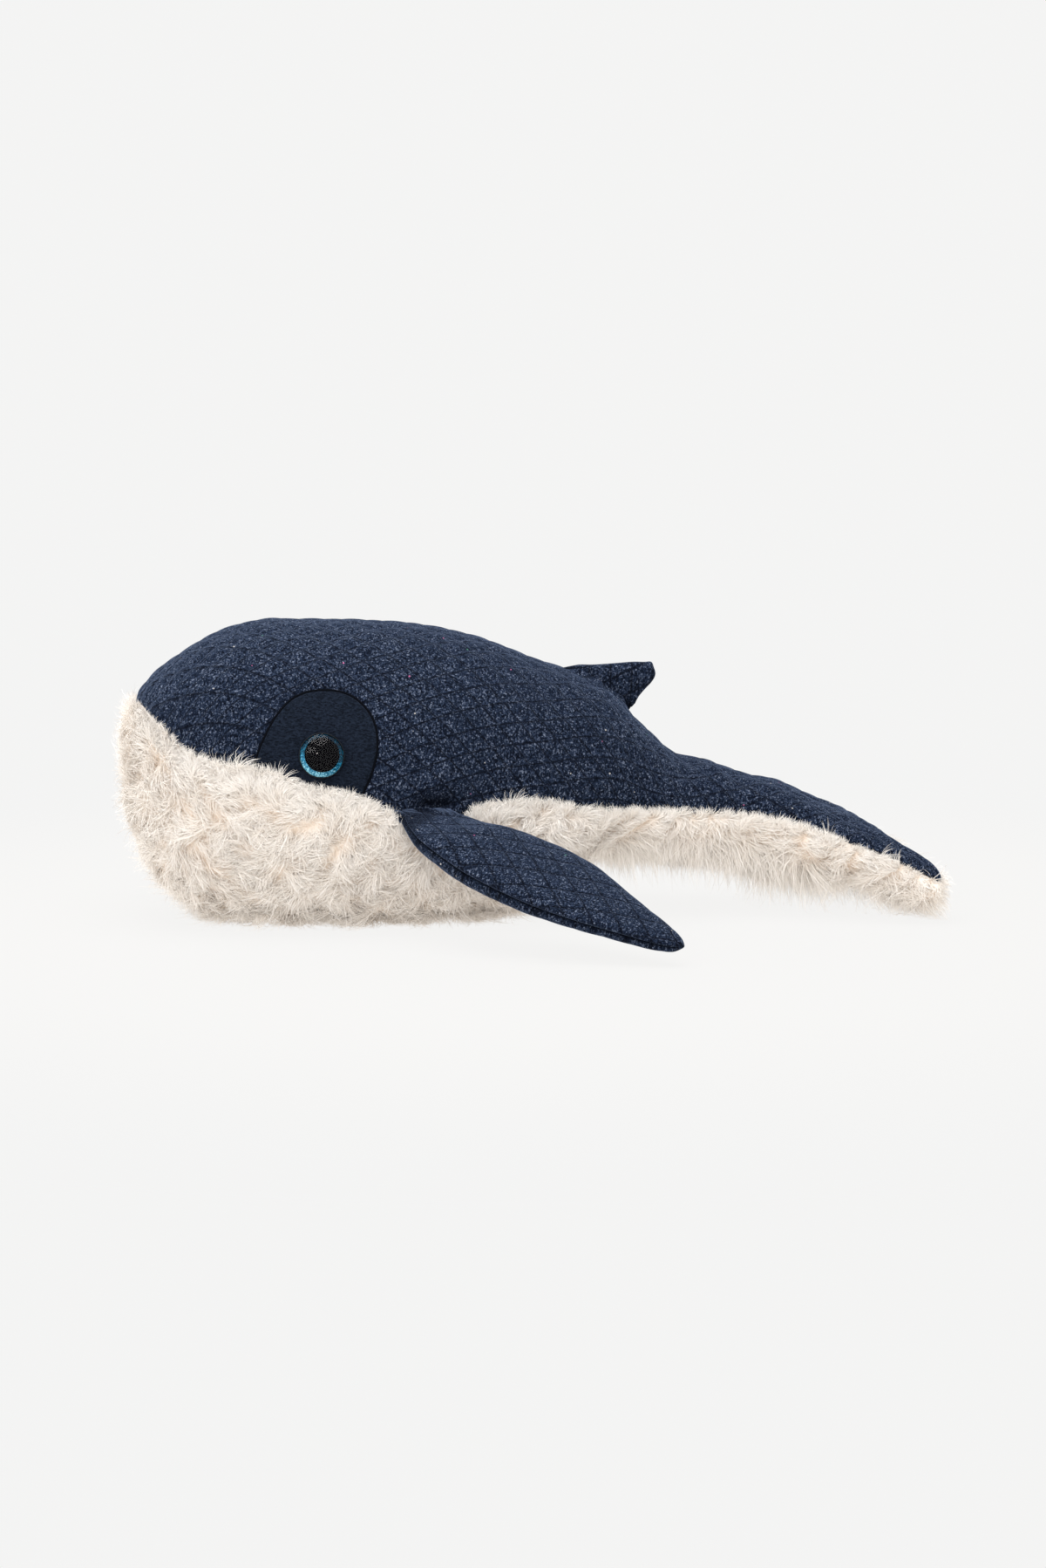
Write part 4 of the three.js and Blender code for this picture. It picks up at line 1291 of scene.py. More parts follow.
@dataclass(frozen=True)
class Belly:
    """The bulk of the pile under the jaw, the belly and the flukes, raised into soft clumps."""

    cover: float = 3 * MM
    spacing: float = 1.7 * MM
    columns: int = 96
    clump: float = 13 * MM
    clump_share: float = 0.72
    tuft: float = 5 * MM
    crown_gap: float = 0.6
    bulk: float = 2.6 * MM
    rise: float = 3.6 * MM
    jaw_fill: float = 6 * MM
    warp: float = 4 * MM
    warp_size: float = 15 * MM
    drop: float = 0.3 * MM
    rest_height: float = 0.5 * MM
    # How far the pile laps over the navy cloth, and the ribs where each lap rises and falls.
    laps: tuple = (
        (9 * MM, (0.1, 0.6), (1.2, 2.4)),
        (3.5 * MM, (2.9, 4.0), (5.6, 6.5)),
        (5.5 * MM, (4.5, 5.4), (5.6, 6.5)),
        (7 * MM, (7.4, 7.7), (8.6, 10.2)),
    )
    # Where the pattern and the clumps start across each side, so that the two sides differ.
    starts: tuple = ((Side.LEFT, 0.3), (Side.RIGHT, 0.9))

    def hang(self, rib: Array, column: Array) -> Array:
        """How far the pile hangs free, under the tail: 0 on the body and 1 low on the tail."""
        return smooth_step(rib, 9.2, 11.2) * smooth_step(column, 0.16, 0.5)

    def sparse(self, rib: Array, column: Array, side: Side) -> Array:
        """Where the hair is short: along the flukes' inner edges and the far lobe's outer edge."""
        outer = smooth_step(rib, 16, 18) * fade(column, 0.1, 0.35) * (side is Side.RIGHT)
        inner = smooth_step(rib, FORM.notch - 1, FORM.notch - 0.2)
        return np.maximum(outer, inner * smooth_step(column, 0.7, 0.95))

    def clumps(self, points: Array, along: Array, place: Array, size: float) -> tuple:
        """Where the clumps of a size lie, on cloth whose distances are bent by smooth noise."""
        bent = along + self.warp * soft_noise(points, self.warp_size, 51)
        bent_place = place + self.warp * soft_noise(points, self.warp_size, 52)
        return gather(bent, bent_place, size, int(size / MM * 10))

    def lap(self, rib: Array, column: Array) -> Array:
        """How far the pile's upper edge laps over the navy cloth."""
        laps = sum(size * band(rib, rise, fall) for size, rise, fall in self.laps)
        return laps * fade(column, 0, 0.35)

    def bed(self, side: Side) -> PileBed:
        """The raised backing of one side, drawn as the left.

        Each clump swells from the crevices at its border to a crown, and small tufts swell on it.
        """
        grid = FORM.grid(self.spacing, self.columns, Face.LOWER, self.cover)
        rib, column, split, points, normals = grid
        along, across = measured(points)
        place = across + dict(self.starts)[side]
        seen = mirrored(points, side)
        gap, small_gap = (self.clumps(seen, along, place, size)[1] for size in (self.clump, self.tuft))
        crown = self.clump_share * smooth_step(gap, 0, self.crown_gap)
        crown = crown + (1 - self.clump_share) * smooth_step(small_gap, 0, self.crown_gap)
        lift = self.bulk + self.rise * crown * (1 - 0.5 * self.hang(rib, column))
        lift = lift + self.jaw_fill * fade(rib, 1.5, 4.5) * smooth_step(column, 0.1, 0.45)
        lift = lift * (1 - 0.7 * self.sparse(rib, column, side)) * smooth_step(column, -0.01, 0.07)
        lift = lift * band(rib, (-0.2, 0.8), (FORM.last - 1.2, FORM.last))
        ahead = unit(np.gradient(points, axis=0))
        points = points + np.cross(normals, ahead) * self.lap(rib, column)[..., None]
        points = points + normals * lift[..., None] - np.array([0, 0, self.drop])
        points[..., 2] = np.maximum(points[..., 2], self.rest_height)
        return PileBed(rib[:, 0], column, split, points, normals, along, place, crown)

    def build(self, beds: dict[Side, PileBed], cloth: Finish) -> Piece:
        """The backing, closed over its top as the back is closed under its own."""
        halves = []
        for side, bed in beds.items():
            across = 0.25 * QUILT.map_size + (bed.place - bed.place.min()) * side.value
            halves.append((mirrored(bed.points, side), QUILT.pattern(bed.along, across), bed.crown))
        split = beds[Side.LEFT].split
        halves[0][0][: split + 1, -1, 1] = 0
        return sewn("pile_backing", halves, split, cloth, "cream_fur",
                    "belly_fur_panel", "fluke_under_panel")


BELLY = Belly()


@dataclass(frozen=True)
class Leaf:
    """A fin's shape: its frame at the root line, and its ribs in real sizes."""

    middle: Array
    along: Array
    up: Array
    leading: Array
    ribs: Array
    tip_power: float = 8

    def point(self, rib: Array, turn: Array, cover: float, fullness: float) -> Array:
        """Points on the fin.

        The place between the leading and trailing edges follows the cosine of a turn, and the height
        over the fin's middle its sine to a power.

        Args:
            rib: rib numbers from the root line.
            turn: 0 at the leading edge, a half turn at the trailing edge, and less than 0 underneath.
            cover: thickness of the cloth over the filling.
            fullness: the power that rounds the section.

        Returns:
            Points, with three coordinates on the last axis.
        """
        last = len(self.ribs) - 1
        at = np.maximum(rib, 0)
        shares = np.moveaxis(read_ribs(self.ribs, at), -1, 0)
        lead_along, lead_across, trail_along, trail_across, thick = shares
        near_tip = (at / last) ** self.tip_power
        closing = np.sqrt(np.maximum(1 - near_tip, 0))
        edge = cover * np.minimum(at, 1) * closing
        place = (1 - np.cos(turn)) / 2
        height = (np.maximum(thick, 0) + cover * closing) * signed_power(np.sin(turn), fullness)
        out = lead_along + (trail_along - lead_along) * place + cover * near_tip
        sideways = lead_across + edge + (trail_across - lead_across - 2 * edge) * place
        return (self.middle + out[..., None] * self.along + sideways[..., None] * self.leading
                + height[..., None] * self.up)

    def local(self, points: Array) -> tuple[Array, Array, Array]:
        """A place's distances along the fin, towards its leading edge and above its middle."""
        away = points - self.middle
        return away @ self.along, away @ self.leading, away @ self.up


@dataclass(frozen=True)
class FinPattern:
    """How a fin is drawn on the body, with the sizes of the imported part."""

    front: float
    rear: float
    turn: float
    length: float
    width: float
    thickness: float
    shares: tuple
    cloth: float = 3 * MM
    skin: float = 4 * MM
    root_share: float = 0.33
    root_inset: float = 1.5 * MM
    seam_gap: float = 0.3 * MM
    front_sink: float = 0.0
    tip_power: float = 8

    def leaf(self, direction: Callable[[Array], Array]) -> Leaf:
        """The fin's frame and ribs: its root line lies on the skin between two ribs of the trunk."""
        def skin(rib: float, cover: float) -> Array:
            """A point of the skin by the root."""
            return FORM.trunk(np.float64(rib), self.turn, cover)

        root_half = self.root_share * self.thickness
        radius = root_half + self.cloth + self.seam_gap / 2
        middle_rib = (self.front + self.rear) / 2
        out = unit(skin(middle_rib, self.skin) - skin(middle_rib, 0))
        front = skin(self.front, self.skin) + out * (radius - self.root_inset)
        rear = skin(self.rear, self.skin) + out * (radius - self.root_inset)
        rearward = unit(rear - front)
        reach = np.linalg.norm(rear - front) / 2
        along = direction(rearward)
        up = unit(np.cross(along, rearward))
        leading = unit(np.cross(along, up))
        root_along, root_across = rearward @ along * reach, rearward @ leading * reach
        ribs = np.array(self.shares) * (self.length, self.width, self.length, self.width, self.thickness)
        root = [-root_along - self.front_sink, -root_across, root_along, root_across, root_half]
        table = np.vstack([root, ribs])
        return Leaf((front + rear) / 2, along, up, leading, table, self.tip_power)


def swept(sweep: float, droop: float) -> Callable[[Array], Array]:
    """A direction that leaves the side, swept back and drooping by these angles in degrees."""
    a, b = math.radians(sweep), math.radians(droop)
    way = np.array([math.sin(a) * math.cos(b), -math.cos(a) * math.cos(b), -math.sin(b)])
    return lambda rearward: way


PECTORAL = FinPattern(
    front=6.28, rear=7.4, turn=math.radians(1.5), length=198 * MM, width=60 * MM, thickness=18 * MM,
    shares=(
        (0.04, 0.46, 0.19, -0.28, 0.45),
        (0.17, 0.58, 0.31, -0.37, 0.5),
        (0.31, 0.64, 0.44, -0.43, 0.5),
        (0.5, 0.61, 0.57, -0.41, 0.44),
        (0.66, 0.5, 0.7, -0.31, 0.34),
        (0.81, 0.34, 0.83, -0.19, 0.24),
        (0.93, 0.2, 0.935, -0.1, 0.15),
        (0.985, 0.1, 0.985, -0.04, 0.09),
        (1, 0, 1, 0, 0),
    ),
).leaf(swept(53, 20))
DORSAL = FinPattern(
    front=9.62, rear=11.65, turn=QUARTER_TURN, length=31 * MM, width=56 * MM, thickness=9 * MM,
    front_sink=7 * MM,
    shares=(
        (0.12, 0.29, 0.12, -0.49, 0.5),
        (0.3, 0.14, 0.3, -0.48, 0.47),
        (0.5, -0.01, 0.5, -0.49, 0.44),
        (0.72, -0.17, 0.72, -0.51, 0.38),
        (0.87, -0.28, 0.87, -0.505, 0.3),
        (0.96, -0.36, 0.96, -0.475, 0.2),
        (1, -0.42, 1, -0.42, 0),
    ),
    tip_power=14,
).leaf(lambda rearward: unit(np.cross(rearward, (0, 1, 0))))


@dataclass(frozen=True)
class Fin:
    """Two quilted panels sewn together round a fin's edge."""

    leaf: Leaf
    body: str
    cover: float = 3 * MM
    spacing: float = 1.3 * MM
    columns: int = 65
    fullness: float = 0.62
    groove: float = 2.2 * MM
    groove_width: float = 1.5 * MM
    seam_turn: float = 0.0
    # Widths of the painted shade along the sewn seam and at the root.
    shade_width: float = 1.3 * MM
    root_shade: float = 3 * MM
    root_pinch: float = 0.0
    puff_share: float = 0.45
    lump: float = 0.7 * MM
    lump_size: float = 24 * MM
    pinched_ribs: float = 1.8
    root_depth: float = 10 * MM
    bend: float = 26 * MM
    path_samples: int = 1200
    tip_fineness: float = 0.02

    def rows(self) -> Array:
        """Rib numbers, evenly spaced along the fin's middle, with finer ones at its tip."""
        last = len(self.leaf.ribs) - 1
        fine = np.linspace(0, last, self.path_samples)
        middle = self.leaf.point(fine, QUARTER_TURN, self.cover, self.fullness)
        length = np.concatenate([[0], np.cumsum(np.linalg.norm(np.diff(middle, axis=0), axis=-1))])
        steps = int(length[-1] / self.spacing)
        places = np.linspace(0, 1, steps + 1)
        places = places + self.tip_fineness * np.sin(HALF_TURN * places)
        return np.interp(length[-1] * places, length, fine)

    def panel(self, face: Face, side: Side, name: str, cloth: Finish) -> Piece:
        """One panel: its quilted face, a root that reaches into the body, and a flat back.

        Args:
            face: the upper or lower panel.
            side: the side of the whale.
            name: the piece's name.
            cloth: its finish.

        Returns:
            The piece.
        """
        leaf = self.leaf
        ribs = self.rows()[:, None]
        column = np.linspace(0, 1, self.columns + 1)[None, :]
        turn = self.seam_turn + (face.value * HALF_TURN - self.seam_turn) * column
        points = leaf.point(ribs, turn, self.cover, self.fullness)
        along, across, up = leaf.local(points)
        pinch = self.root_pinch * fade(ribs, 0, self.pinched_ribs) * np.maximum(up, 0)
        points = points - pinch[..., None] * leaf.up
        before_tip = fade(ribs, ribs[-1] - 1, ribs[-1])
        swell = np.sin(HALF_TURN * column) ** 0.5 * before_tip
        quilting = QUILT.height(along, across) - 0.6 * QUILT.puff
        lumps = self.lump * soft_noise(points, self.lump_size, 11 + face.value)
        _, from_rear = measured(points)
        from_seam = np.minimum(from_rear[:, :1] - from_rear, from_rear)
        drawn = self.groove * bell(from_seam, self.groove_width) * before_tip
        nudge = 0.01
        ahead = leaf.point(ribs, turn + nudge, self.cover, self.fullness)
        behind = leaf.point(ribs, turn - nudge, self.cover, self.fullness)
        outward = unit(np.cross(leaf.along, ahead - behind))
        lift = (quilting * self.puff_share + lumps) * swell - drawn
        points = points + lift[..., None] * outward
        # Painted shade along the sewn seam and at the root, kept as the cloth's crown values.
        shade = bell(from_seam, self.shade_width) * before_tip
        shade = np.maximum(shade, 0.8 * bell(np.maximum(along, 0), self.root_shade))
        root = points[:1] - leaf.along * self.root_depth
        points = np.concatenate([root, points])
        along = np.concatenate([along[:1] - self.root_depth, along])
        across = np.concatenate([across[:1], across])
        shade = np.concatenate([shade[:1], shade])
        pattern = QUILT.pattern(0.05 + along, 0.25 + across)
        draft = Draft()
        draft.sheet(draft.grid(mirrored(points, side), pattern, shade), wrap=True)
        back = draft.grid(mirrored(points[0], side), pattern[0])
        last = self.columns
        rungs = np.array([[k, k + 1, last - k - 1, last - k] for k in range(last // 2)])
        draft.faces.append(back[rungs])
        piece = draft.mesh(name, cloth)
        return piece

    def attach(self, piece: Piece, side: Side) -> None:
        """Bakes a panel's placement into its mesh."""
        start = mirrored(self.leaf.middle, side)
        end = mirrored(self.leaf.middle + self.leaf.along * self.bend, side)
        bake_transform(piece)

    def build(self, side: Side, word: str, nodes: dict[Face, tuple[str, ...]],
              cloth: Finish) -> list[Piece]:
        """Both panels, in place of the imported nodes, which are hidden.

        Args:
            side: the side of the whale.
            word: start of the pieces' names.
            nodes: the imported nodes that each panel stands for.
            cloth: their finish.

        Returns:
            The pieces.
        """
        pieces = []
        for face, names in nodes.items():
            piece = self.panel(face, side, f"{word}_{face.name.lower()}", cloth)
            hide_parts(*names)
            self.attach(piece, side)
            pieces.append(piece)
        return pieces


@dataclass(frozen=True)
class Eye:
    """A safety eye: backing cup and shank, glitter ring, pupil and clear dome."""

    seat: EyeSeat = EyeSeat()
    radius: float = 15 * MM
    rim: float = 0.5 * MM
    seat_depth: float = 2 * MM
    floor: float = 2.4 * MM
    lip: float = 1.2 * MM
    dome: float = 6.0 * MM
    glitter: float = 0.5 * MM
    pupil_radius: float = 11.3 * MM
    pupil_thickness: float = 0.8 * MM
    gap: float = 0.1 * MM
    pupil_rise: float = 0.5 * MM
    shank_radius: float = 3 * MM
    shank_length: float = 17 * MM
    bevel: float = 0.4 * MM
    pupil_edge: float = 0.3 * MM
    lens_overlap: float = 0.2 * MM
    dome_steps: int = 28
    spokes: int = 96

    def lathe(self, name: str, profile: Sequence[tuple[float, float]], side: Side, raised: float,
              finish: Finish) -> Piece:
        """A turned piece: a profile of radius and height pairs carried round the eye's axis.

        Args:
            name: the piece's name.
            profile: radius and height pairs, from the axis and back to it.
            side: the side of the head.
            raised: how far the piece sits over the axis.
            finish: its material.

        Returns:
            The piece.
        """
        radius, height = np.array(profile).T[..., None]
        angle = np.linspace(0, FULL_TURN, self.spokes, endpoint=False)
        local = np.stack(np.broadcast_arrays(
            radius * np.cos(angle), radius * np.sin(angle) + raised, height,
        ), -1)
        axes = np.array(self.seat.axes(side))
        points = local @ axes[:3, :3].T + axes[:3, 3]
        draft = Draft()
        spread = 0.5 / self.radius
        draft.sheet(draft.grid(points, local[..., :2] * spread + 0.5), wrap=True)
        piece = draft.mesh(name, finish, weld=1e-7)
        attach(piece, "body")
        return piece

    def build(self, side: Side, finishes: dict[str, Finish]) -> None:
        """Makes the eye's four visible pieces on one side."""
        outer, bevel = self.radius, self.bevel
        inner = outer - self.rim
        top = self.floor + self.lip
        cup = [
            (0, -self.shank_length), (self.shank_radius, -self.shank_length),
            (self.shank_radius, -self.seat_depth), (outer - bevel, -self.seat_depth),
            (outer, bevel - self.seat_depth), (outer, top - bevel),
            (outer - 0.3 * bevel, top - 0.3 * bevel), (outer - bevel, top),
            (inner, top - 0.15 * MM), (inner, self.floor), (0, self.floor),
        ]
        ring = inner - self.gap
        base = self.floor + self.gap
        bed = base + self.glitter
        flat = [(0, base), (ring, base), (ring, bed), (0, bed)]
        edge, disc_top = self.pupil_radius - self.pupil_edge, bed + self.pupil_thickness
        disc = [(0, bed), (self.pupil_radius, bed), (self.pupil_radius, disc_top - self.pupil_edge)]
        disc += [(edge, disc_top), (0, disc_top)]
        sole, crown = bed - self.lens_overlap, bed + self.dome
        arc = (ring**2 + self.dome**2) / (2 * self.dome)
        turns = np.linspace(math.asin(ring / arc), 0, self.dome_steps)
        shell = [(0, sole), (ring, sole)]
        shell += [(arc * math.sin(turn), crown - arc * (1 - math.cos(turn))) for turn in turns]
        parts = (
            ("cup", "back", "plastic", "eye_plastic", cup, 0),
            ("ring", "glitter", "glitter", "eye_glitter", flat, 0),
            ("pupil_disc", "pupil", "pupil", "eye_black", disc, self.pupil_rise),
            ("dome", "lens", "clear", "eye_clear", shell, 0),
        )
        for word, node, finish, slot, profile, raised in parts:
            piece = self.lathe(f"eye_{word}_{side.word}", profile, side, raised, finishes[finish])
            piece.visible_shadow = finish != "clear"
            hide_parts(f"eye_{node}_{side.word}")


PILE_ZONES = (("jaw", 0, 4.2), ("throat", 4.2, 7.2), ("belly", 7.2, 11.0), ("tail", 11.0, 22.0))


@dataclass(frozen=True)
class PileZone:
    """A stretch of the pile that is made as one piece."""

    name: str
    first: float
    last: float
    side: Side


@dataclass(frozen=True)
class Roots:
    """What a zone's hairs need from the places where they grow, with one row or value per hair.

    The shares from 0 to 1 say how far a place lies on the nose, hangs under the tail, lies at the side
    seam, on a lobe, where the hair is short, by the floor, and on the jaw's clumps. Clump, tuft and wisp
    hold five chance numbers each, and the ways lead over the cloth to their middles.
    """

    rib: Array
    point: Array
    normal: Array
    rearward: Array
    downward: Array
    ways: tuple[Array, Array, Array]
    clump: Array
    tuft: Array
    wisp: Array
    crown: Array
    stray: Array
    nose: Array
    hang: Array
    edge: Array
    lobe: Array
    sparse: Array
    low: Array
    jaw: Array

    @property
    def fringe(self) -> Array:
        """The few wisps at the seam whose hairs are long."""
        return (self.wisp[:, 3] < 0.035) & (self.edge > 0.5) & (self.sparse < 0.5)

    def over_skin(self, way: Array) -> Array:
        """A way over the cloth, as a direction in space."""
        return self.rearward * way[:, :1] - self.downward * way[:, 1:]

    def turned(self, share: Array) -> Array:
        """A direction over the skin, turned from rearward by a share of a whole turn."""
        angle = FULL_TURN * share
        return blend((self.rearward, np.cos(angle)), (self.downward, np.sin(angle)))


def blend(*pairs: tuple[Array, Array]) -> Array:
    """The sum of directions, each times its share."""
    return sum(direction * np.reshape(share, (-1, 1)) for direction, share in pairs)


@dataclass(frozen=True)
class Trend:
    """A value that changes over the whale: its base, and what each share of a place adds to it."""

    base: float
    nose: float = 0
    hang: float = 0
    edge: float = 0
    sparse: float = 0
    low: float = 0
    jaw: float = 0
    stray: float = 0

    def at(self, roots: Roots) -> Array:
        """The value at each root."""
        words = [share.name for share in fields(self)[1:]]
        return self.base + sum(getattr(self, word) * getattr(roots, word) for word in words)


@dataclass(frozen=True)
class Pile:
    """The long cream pile: curved, tapered hairs that lie in pointed locks and hang under the tail.

    A hair is an arc: it rises from the bed, and its angle falls steadily to the tip, while its direction
    over the skin turns. Hairs are drawn to the middle of their clump, tuft and wisp as they grow.
    """

    length: float = 15 * MM
    tail_length: float = 27 * MM
    lobe_length: float = 40 * MM
    edge_length: float = 8 * MM
    floor_length: float = 23 * MM
    fringe_length: float = 9 * MM
    width: float = 0.36 * MM
    wisp: float = 2.4 * MM
    rest_height: float = 0.4 * MM
    strands: int = 26000
    segments: int = 4
    seed: int = 20
    stray_share: float = 0.05
    bent_ribs: float = 2.5
    # Angles over the skin in degrees, at the root and at the tip, and their spread among tufts.
    root_angle: Trend = Trend(58, nose=10, hang=-16, edge=-4, sparse=-40, low=-30, jaw=-20, stray=20)
    tip_angle: Trend = Trend(-28, nose=26, hang=14, edge=4, low=12, jaw=10, stray=30)
    tip_spread: float = 24
    # How far the lie is combed, not left to chance, and how far hairs sag.
    combed: Trend = Trend(0.16, nose=0.3, hang=0.62, edge=0.5, low=0.5)
    sag: Trend = Trend(0.1, hang=1.0, sparse=1.2)
    # The pull to the middle of the clump, tuft and wisp, and how soon each sets in.
    pulls: tuple = (
        (Trend(0.25, hang=0.45, jaw=0.25), 1.0),
        (Trend(0.5, hang=0.2, low=0.35, jaw=0.25), 0.8),
        (Trend(0.75), 0.6),
    )
    # How pale each hair is. The extra paleness under the tail and low by the floor is painted light; it is
    # also paler at the seam's edge and on strays.
    tone: Trend = Trend(0.12, hang=0.25, edge=0.2, low=0.25, stray=0.3)
    press: float = 3 * MM
    reach: float = 11 * MM
    reach_more: float = 9 * MM
    tail_reach: float = 2 * MM
    fin_clearance: float = 4.5 * MM
    fin_margin: float = 4 * MM
    fin_height: float = 14 * MM

    def spread(self, zone: PileZone, bed: PileBed, rng: Generator) -> tuple:
        """Places of a zone's roots in the bed's grid, spread by area.

        The underside that lies on the floor gets few hairs, and the edge at the seam, the hanging pile
        and the short pile get more.
        """
        a, b = bed.points[1:, :-1] - bed.points[:-1, :-1], bed.points[:-1, 1:] - bed.points[:-1, :-1]
        area = np.linalg.norm(np.cross(a, b), axis=-1)
        rib, column = bed.ribs[:-1, None], bed.columns[None, :-1]
        pressed = (rib < FORM.trunk_end - 4) & (bed.points[:-1, :-1, 2] < 7 * MM)
        weight = area * np.where(pressed, 0.25, 1) * (1 + 4.5 * (column < 0.06))
        weight = weight * (1 + 0.8 * BELLY.hang(rib, column))
        weight = weight * (1 + 0.8 * BELLY.sparse(rib, column, zone.side))
        weight = weight * ((rib >= zone.first) & (rib < zone.last))
        chance = np.cumsum(weight.ravel())
        even = (np.arange(self.strands) + rng.random(self.strands)) / self.strands * chance[-1]
        row, col = np.unravel_index(np.minimum(np.searchsorted(chance, even), area.size - 1), area.shape)
        return row, col, *rng.random((2, self.strands))

    def plant(self, zone: PileZone, bed: PileBed, rng: Generator) -> Roots:
        """A zone's roots, with all that the hairs need from their places."""
        at = self.spread(zone, bed, rng)
        rib = bed.ribs[at[0]] + (bed.ribs[at[0] + 1] - bed.ribs[at[0]]) * at[2]
        column = bed.columns[at[1]] + (bed.columns[at[1] + 1] - bed.columns[at[1]]) * at[3]
        point = bed.read(bed.points, at)
        normal = unit(bed.read(bed.normals, at))
        front, rear = (FORM.skin(rib + step, column, Face.LOWER, 0) for step in (-0.03, 0.03))
        ahead = rear - front
        rearward = unit(ahead - normal * np.sum(ahead * normal, -1, keepdims=True))
        along, place, crown = (bed.read(table, at) for table in (bed.along, bed.place, bed.crown))
        seen = mirrored(point, zone.side)
        to_clump, _, clump = BELLY.clumps(seen, along, place, BELLY.clump)
        to_tuft, _, tuft = BELLY.clumps(seen, along, place, BELLY.tuft)
        to_wisp, _, wisp = gather(along, place, self.wisp, 43)
        edge = fade(column, 0, 0.1)
        low = fade(point[:, 2], 5 * MM, 24 * MM) * fade(rib, 8, 10)
        return Roots(
            rib, point, normal, rearward, np.cross(rearward, normal), (to_clump, to_tuft, to_wisp),
            clump, tuft, wisp, crown,
            stray=rng.random(self.strands) < self.stray_share,
            nose=fade(rib, 0.3, 3.4),
            hang=BELLY.hang(rib, column),
            edge=edge,
            lobe=smooth_step(rib, 16, 18.5),
            sparse=BELLY.sparse(rib, column, zone.side),
            low=low,
            jaw=band(rib, (0.8, 2.2), (6.5, 8.5)) * (1 - edge) * (1 - low),
        )

    def lie(self, at: Roots) -> Array:
        """The direction over the skin in which each hair sets out.

        It mixes a combed lie with a chance direction of its clump and tuft. The combed lie runs down and
        rearward, up over the edge at the seam, and outward by the floor.
        """
        free = at.turned(at.clump[:, 0]) + 0.7 * at.turned(at.tuft[:, 0])
        sway = at.tuft[:, 1] - 0.5
        upward = at.edge * (1 - 0.5 * at.lobe) * (1 - 1.6 * at.sparse)
        outward = unit(at.normal * (1, 1, 0))
        combed = blend((at.rearward, 0.3 - 0.3 * at.nose), (at.downward, 0.75 - 1.5 * at.nose))
        combed = blend((combed, 1 - at.edge), (at.downward, -upward), (at.rearward, 3 * sway * at.edge))
        combed = blend((combed, 1 - at.low), (outward, at.low), (at.downward, 0.35 * at.low),
                       (at.rearward, 1.8 * sway * at.low))
        share = np.clip(self.combed.at(at), 0, 0.9)
        return unit(blend((combed, share), (free, 0.8 * (1 - share))))

    def headings(self, at: Roots, lie: Array, across: Array, way: Array,
                 rng: Generator) -> Array:
        """Each hair's direction at places along it: an arc over the skin that turns and sags."""
        spin = np.where(at.clump[:, 1] < 0.5, -1, 1)
        veer = (at.wisp[:, 0] - 0.5) * (1 - 0.6 * at.edge)
        veer = veer + rng.normal(0, 0.2, self.strands) * (1 + 2 * at.edge)
        twist = 0.9 * spin + 1.3 * (at.tuft[:, 2] - 0.5)
        twist = twist * (1 - 0.8 * at.hang) * (1 - 0.5 * at.low)
        turn = veer[:, None] + twist[:, None] * way
        over = lie[:, None] * np.cos(turn)[..., None] + across[:, None] * np.sin(turn)[..., None]
        first = self.root_angle.at(at)
        last = self.tip_angle.at(at) + self.tip_spread * (at.tuft[:, 3] - 0.5)
        angle = np.radians(first[:, None] + (last - first)[:, None] * way**0.9)
        heading = at.normal[:, None] * np.sin(angle)[..., None] + over * np.cos(angle)[..., None]
        heading[..., 2] -= way * self.sag.at(at)[:, None]
        return unit(heading + rng.normal(0, 0.1, (self.strands, 1, 3)))

    def lengths(self, at: Roots, rng: Generator) -> Array:
        """Each hair's length: long under the tail and by the floor, short at the seam and the tips."""
        under_lobe = smooth_step(at.point[:, 0], 115 * MM, 180 * MM)
        hanging = self.tail_length + (self.lobe_length - self.tail_length) * under_lobe
        length = self.length + (hanging - self.length) * at.hang
        length = length + (self.floor_length - length) * at.low
        length = length * (1 + 0.2 * at.jaw)
        length = length + (self.edge_length * (1 - 0.45 * at.lobe) - length) * at.edge
        length = length * (1 - 0.5 * at.sparse) + self.fringe_length * at.fringe
        length = length * (1 - 0.55 * smooth_step(at.rib, 20, 21.8)) * (1 + 0.3 * at.stray)
        return length * (0.75 + 0.4 * at.tuft[:, 4]) * (0.75 + 0.4 * rng.random(self.strands))

    def drawn(self, at: Roots, path: Array, lie: Array, across: Array, way: Array) -> Array:
        """The hairs, drawn to the middle of their clump, tuft and wisp, and waving a little."""
        calm = np.where(at.stray, 0.2, 1) * (1 - 0.85 * at.edge)
        for middle, (amount, power) in zip(at.ways, self.pulls):
            pull = at.over_skin(middle)
            beside = pull - lie * np.sum(pull * lie, -1, keepdims=True)
            path = path + beside[:, None] * (calm * amount.at(at))[:, None, None] * (way**power)[..., None]
        wave = (0.3 + 0.5 * at.wisp[:, 4])[:, None] * MM * way
        phase = FULL_TURN * (way * 1.2 + at.wisp[:, 1:2])
        swing = np.cos(phase)[..., None] * across[:, None] + np.sin(phase)[..., None] * at.normal[:, None]
        return path + swing * wave[..., None]

    def hairs(self, zone: PileZone, bed: PileBed) -> tuple[Array, Array, Array]:
        """Points along each hair of a zone on the left side, the skin's normals and the hairs' tones."""
        rng = np.random.default_rng(self.seed + sum(map(ord, zone.name)))
        at = self.plant(zone, bed, rng)
        way = np.linspace(0, 1, self.segments + 1)[None, :]
        lie = self.lie(at)
        across = unit(np.cross(at.normal, lie))
        heading = self.headings(at, lie, across, way, rng)
        step = (self.lengths(at, rng) / self.segments)[:, None, None]
        grown = np.cumsum((heading[:, :-1] + heading[:, 1:]) / 2 * step, 1)
        path = at.point[:, None] + np.concatenate([np.zeros((self.strands, 1, 3)), grown], 1)
        path = self.drawn(at, path, lie, across, way)
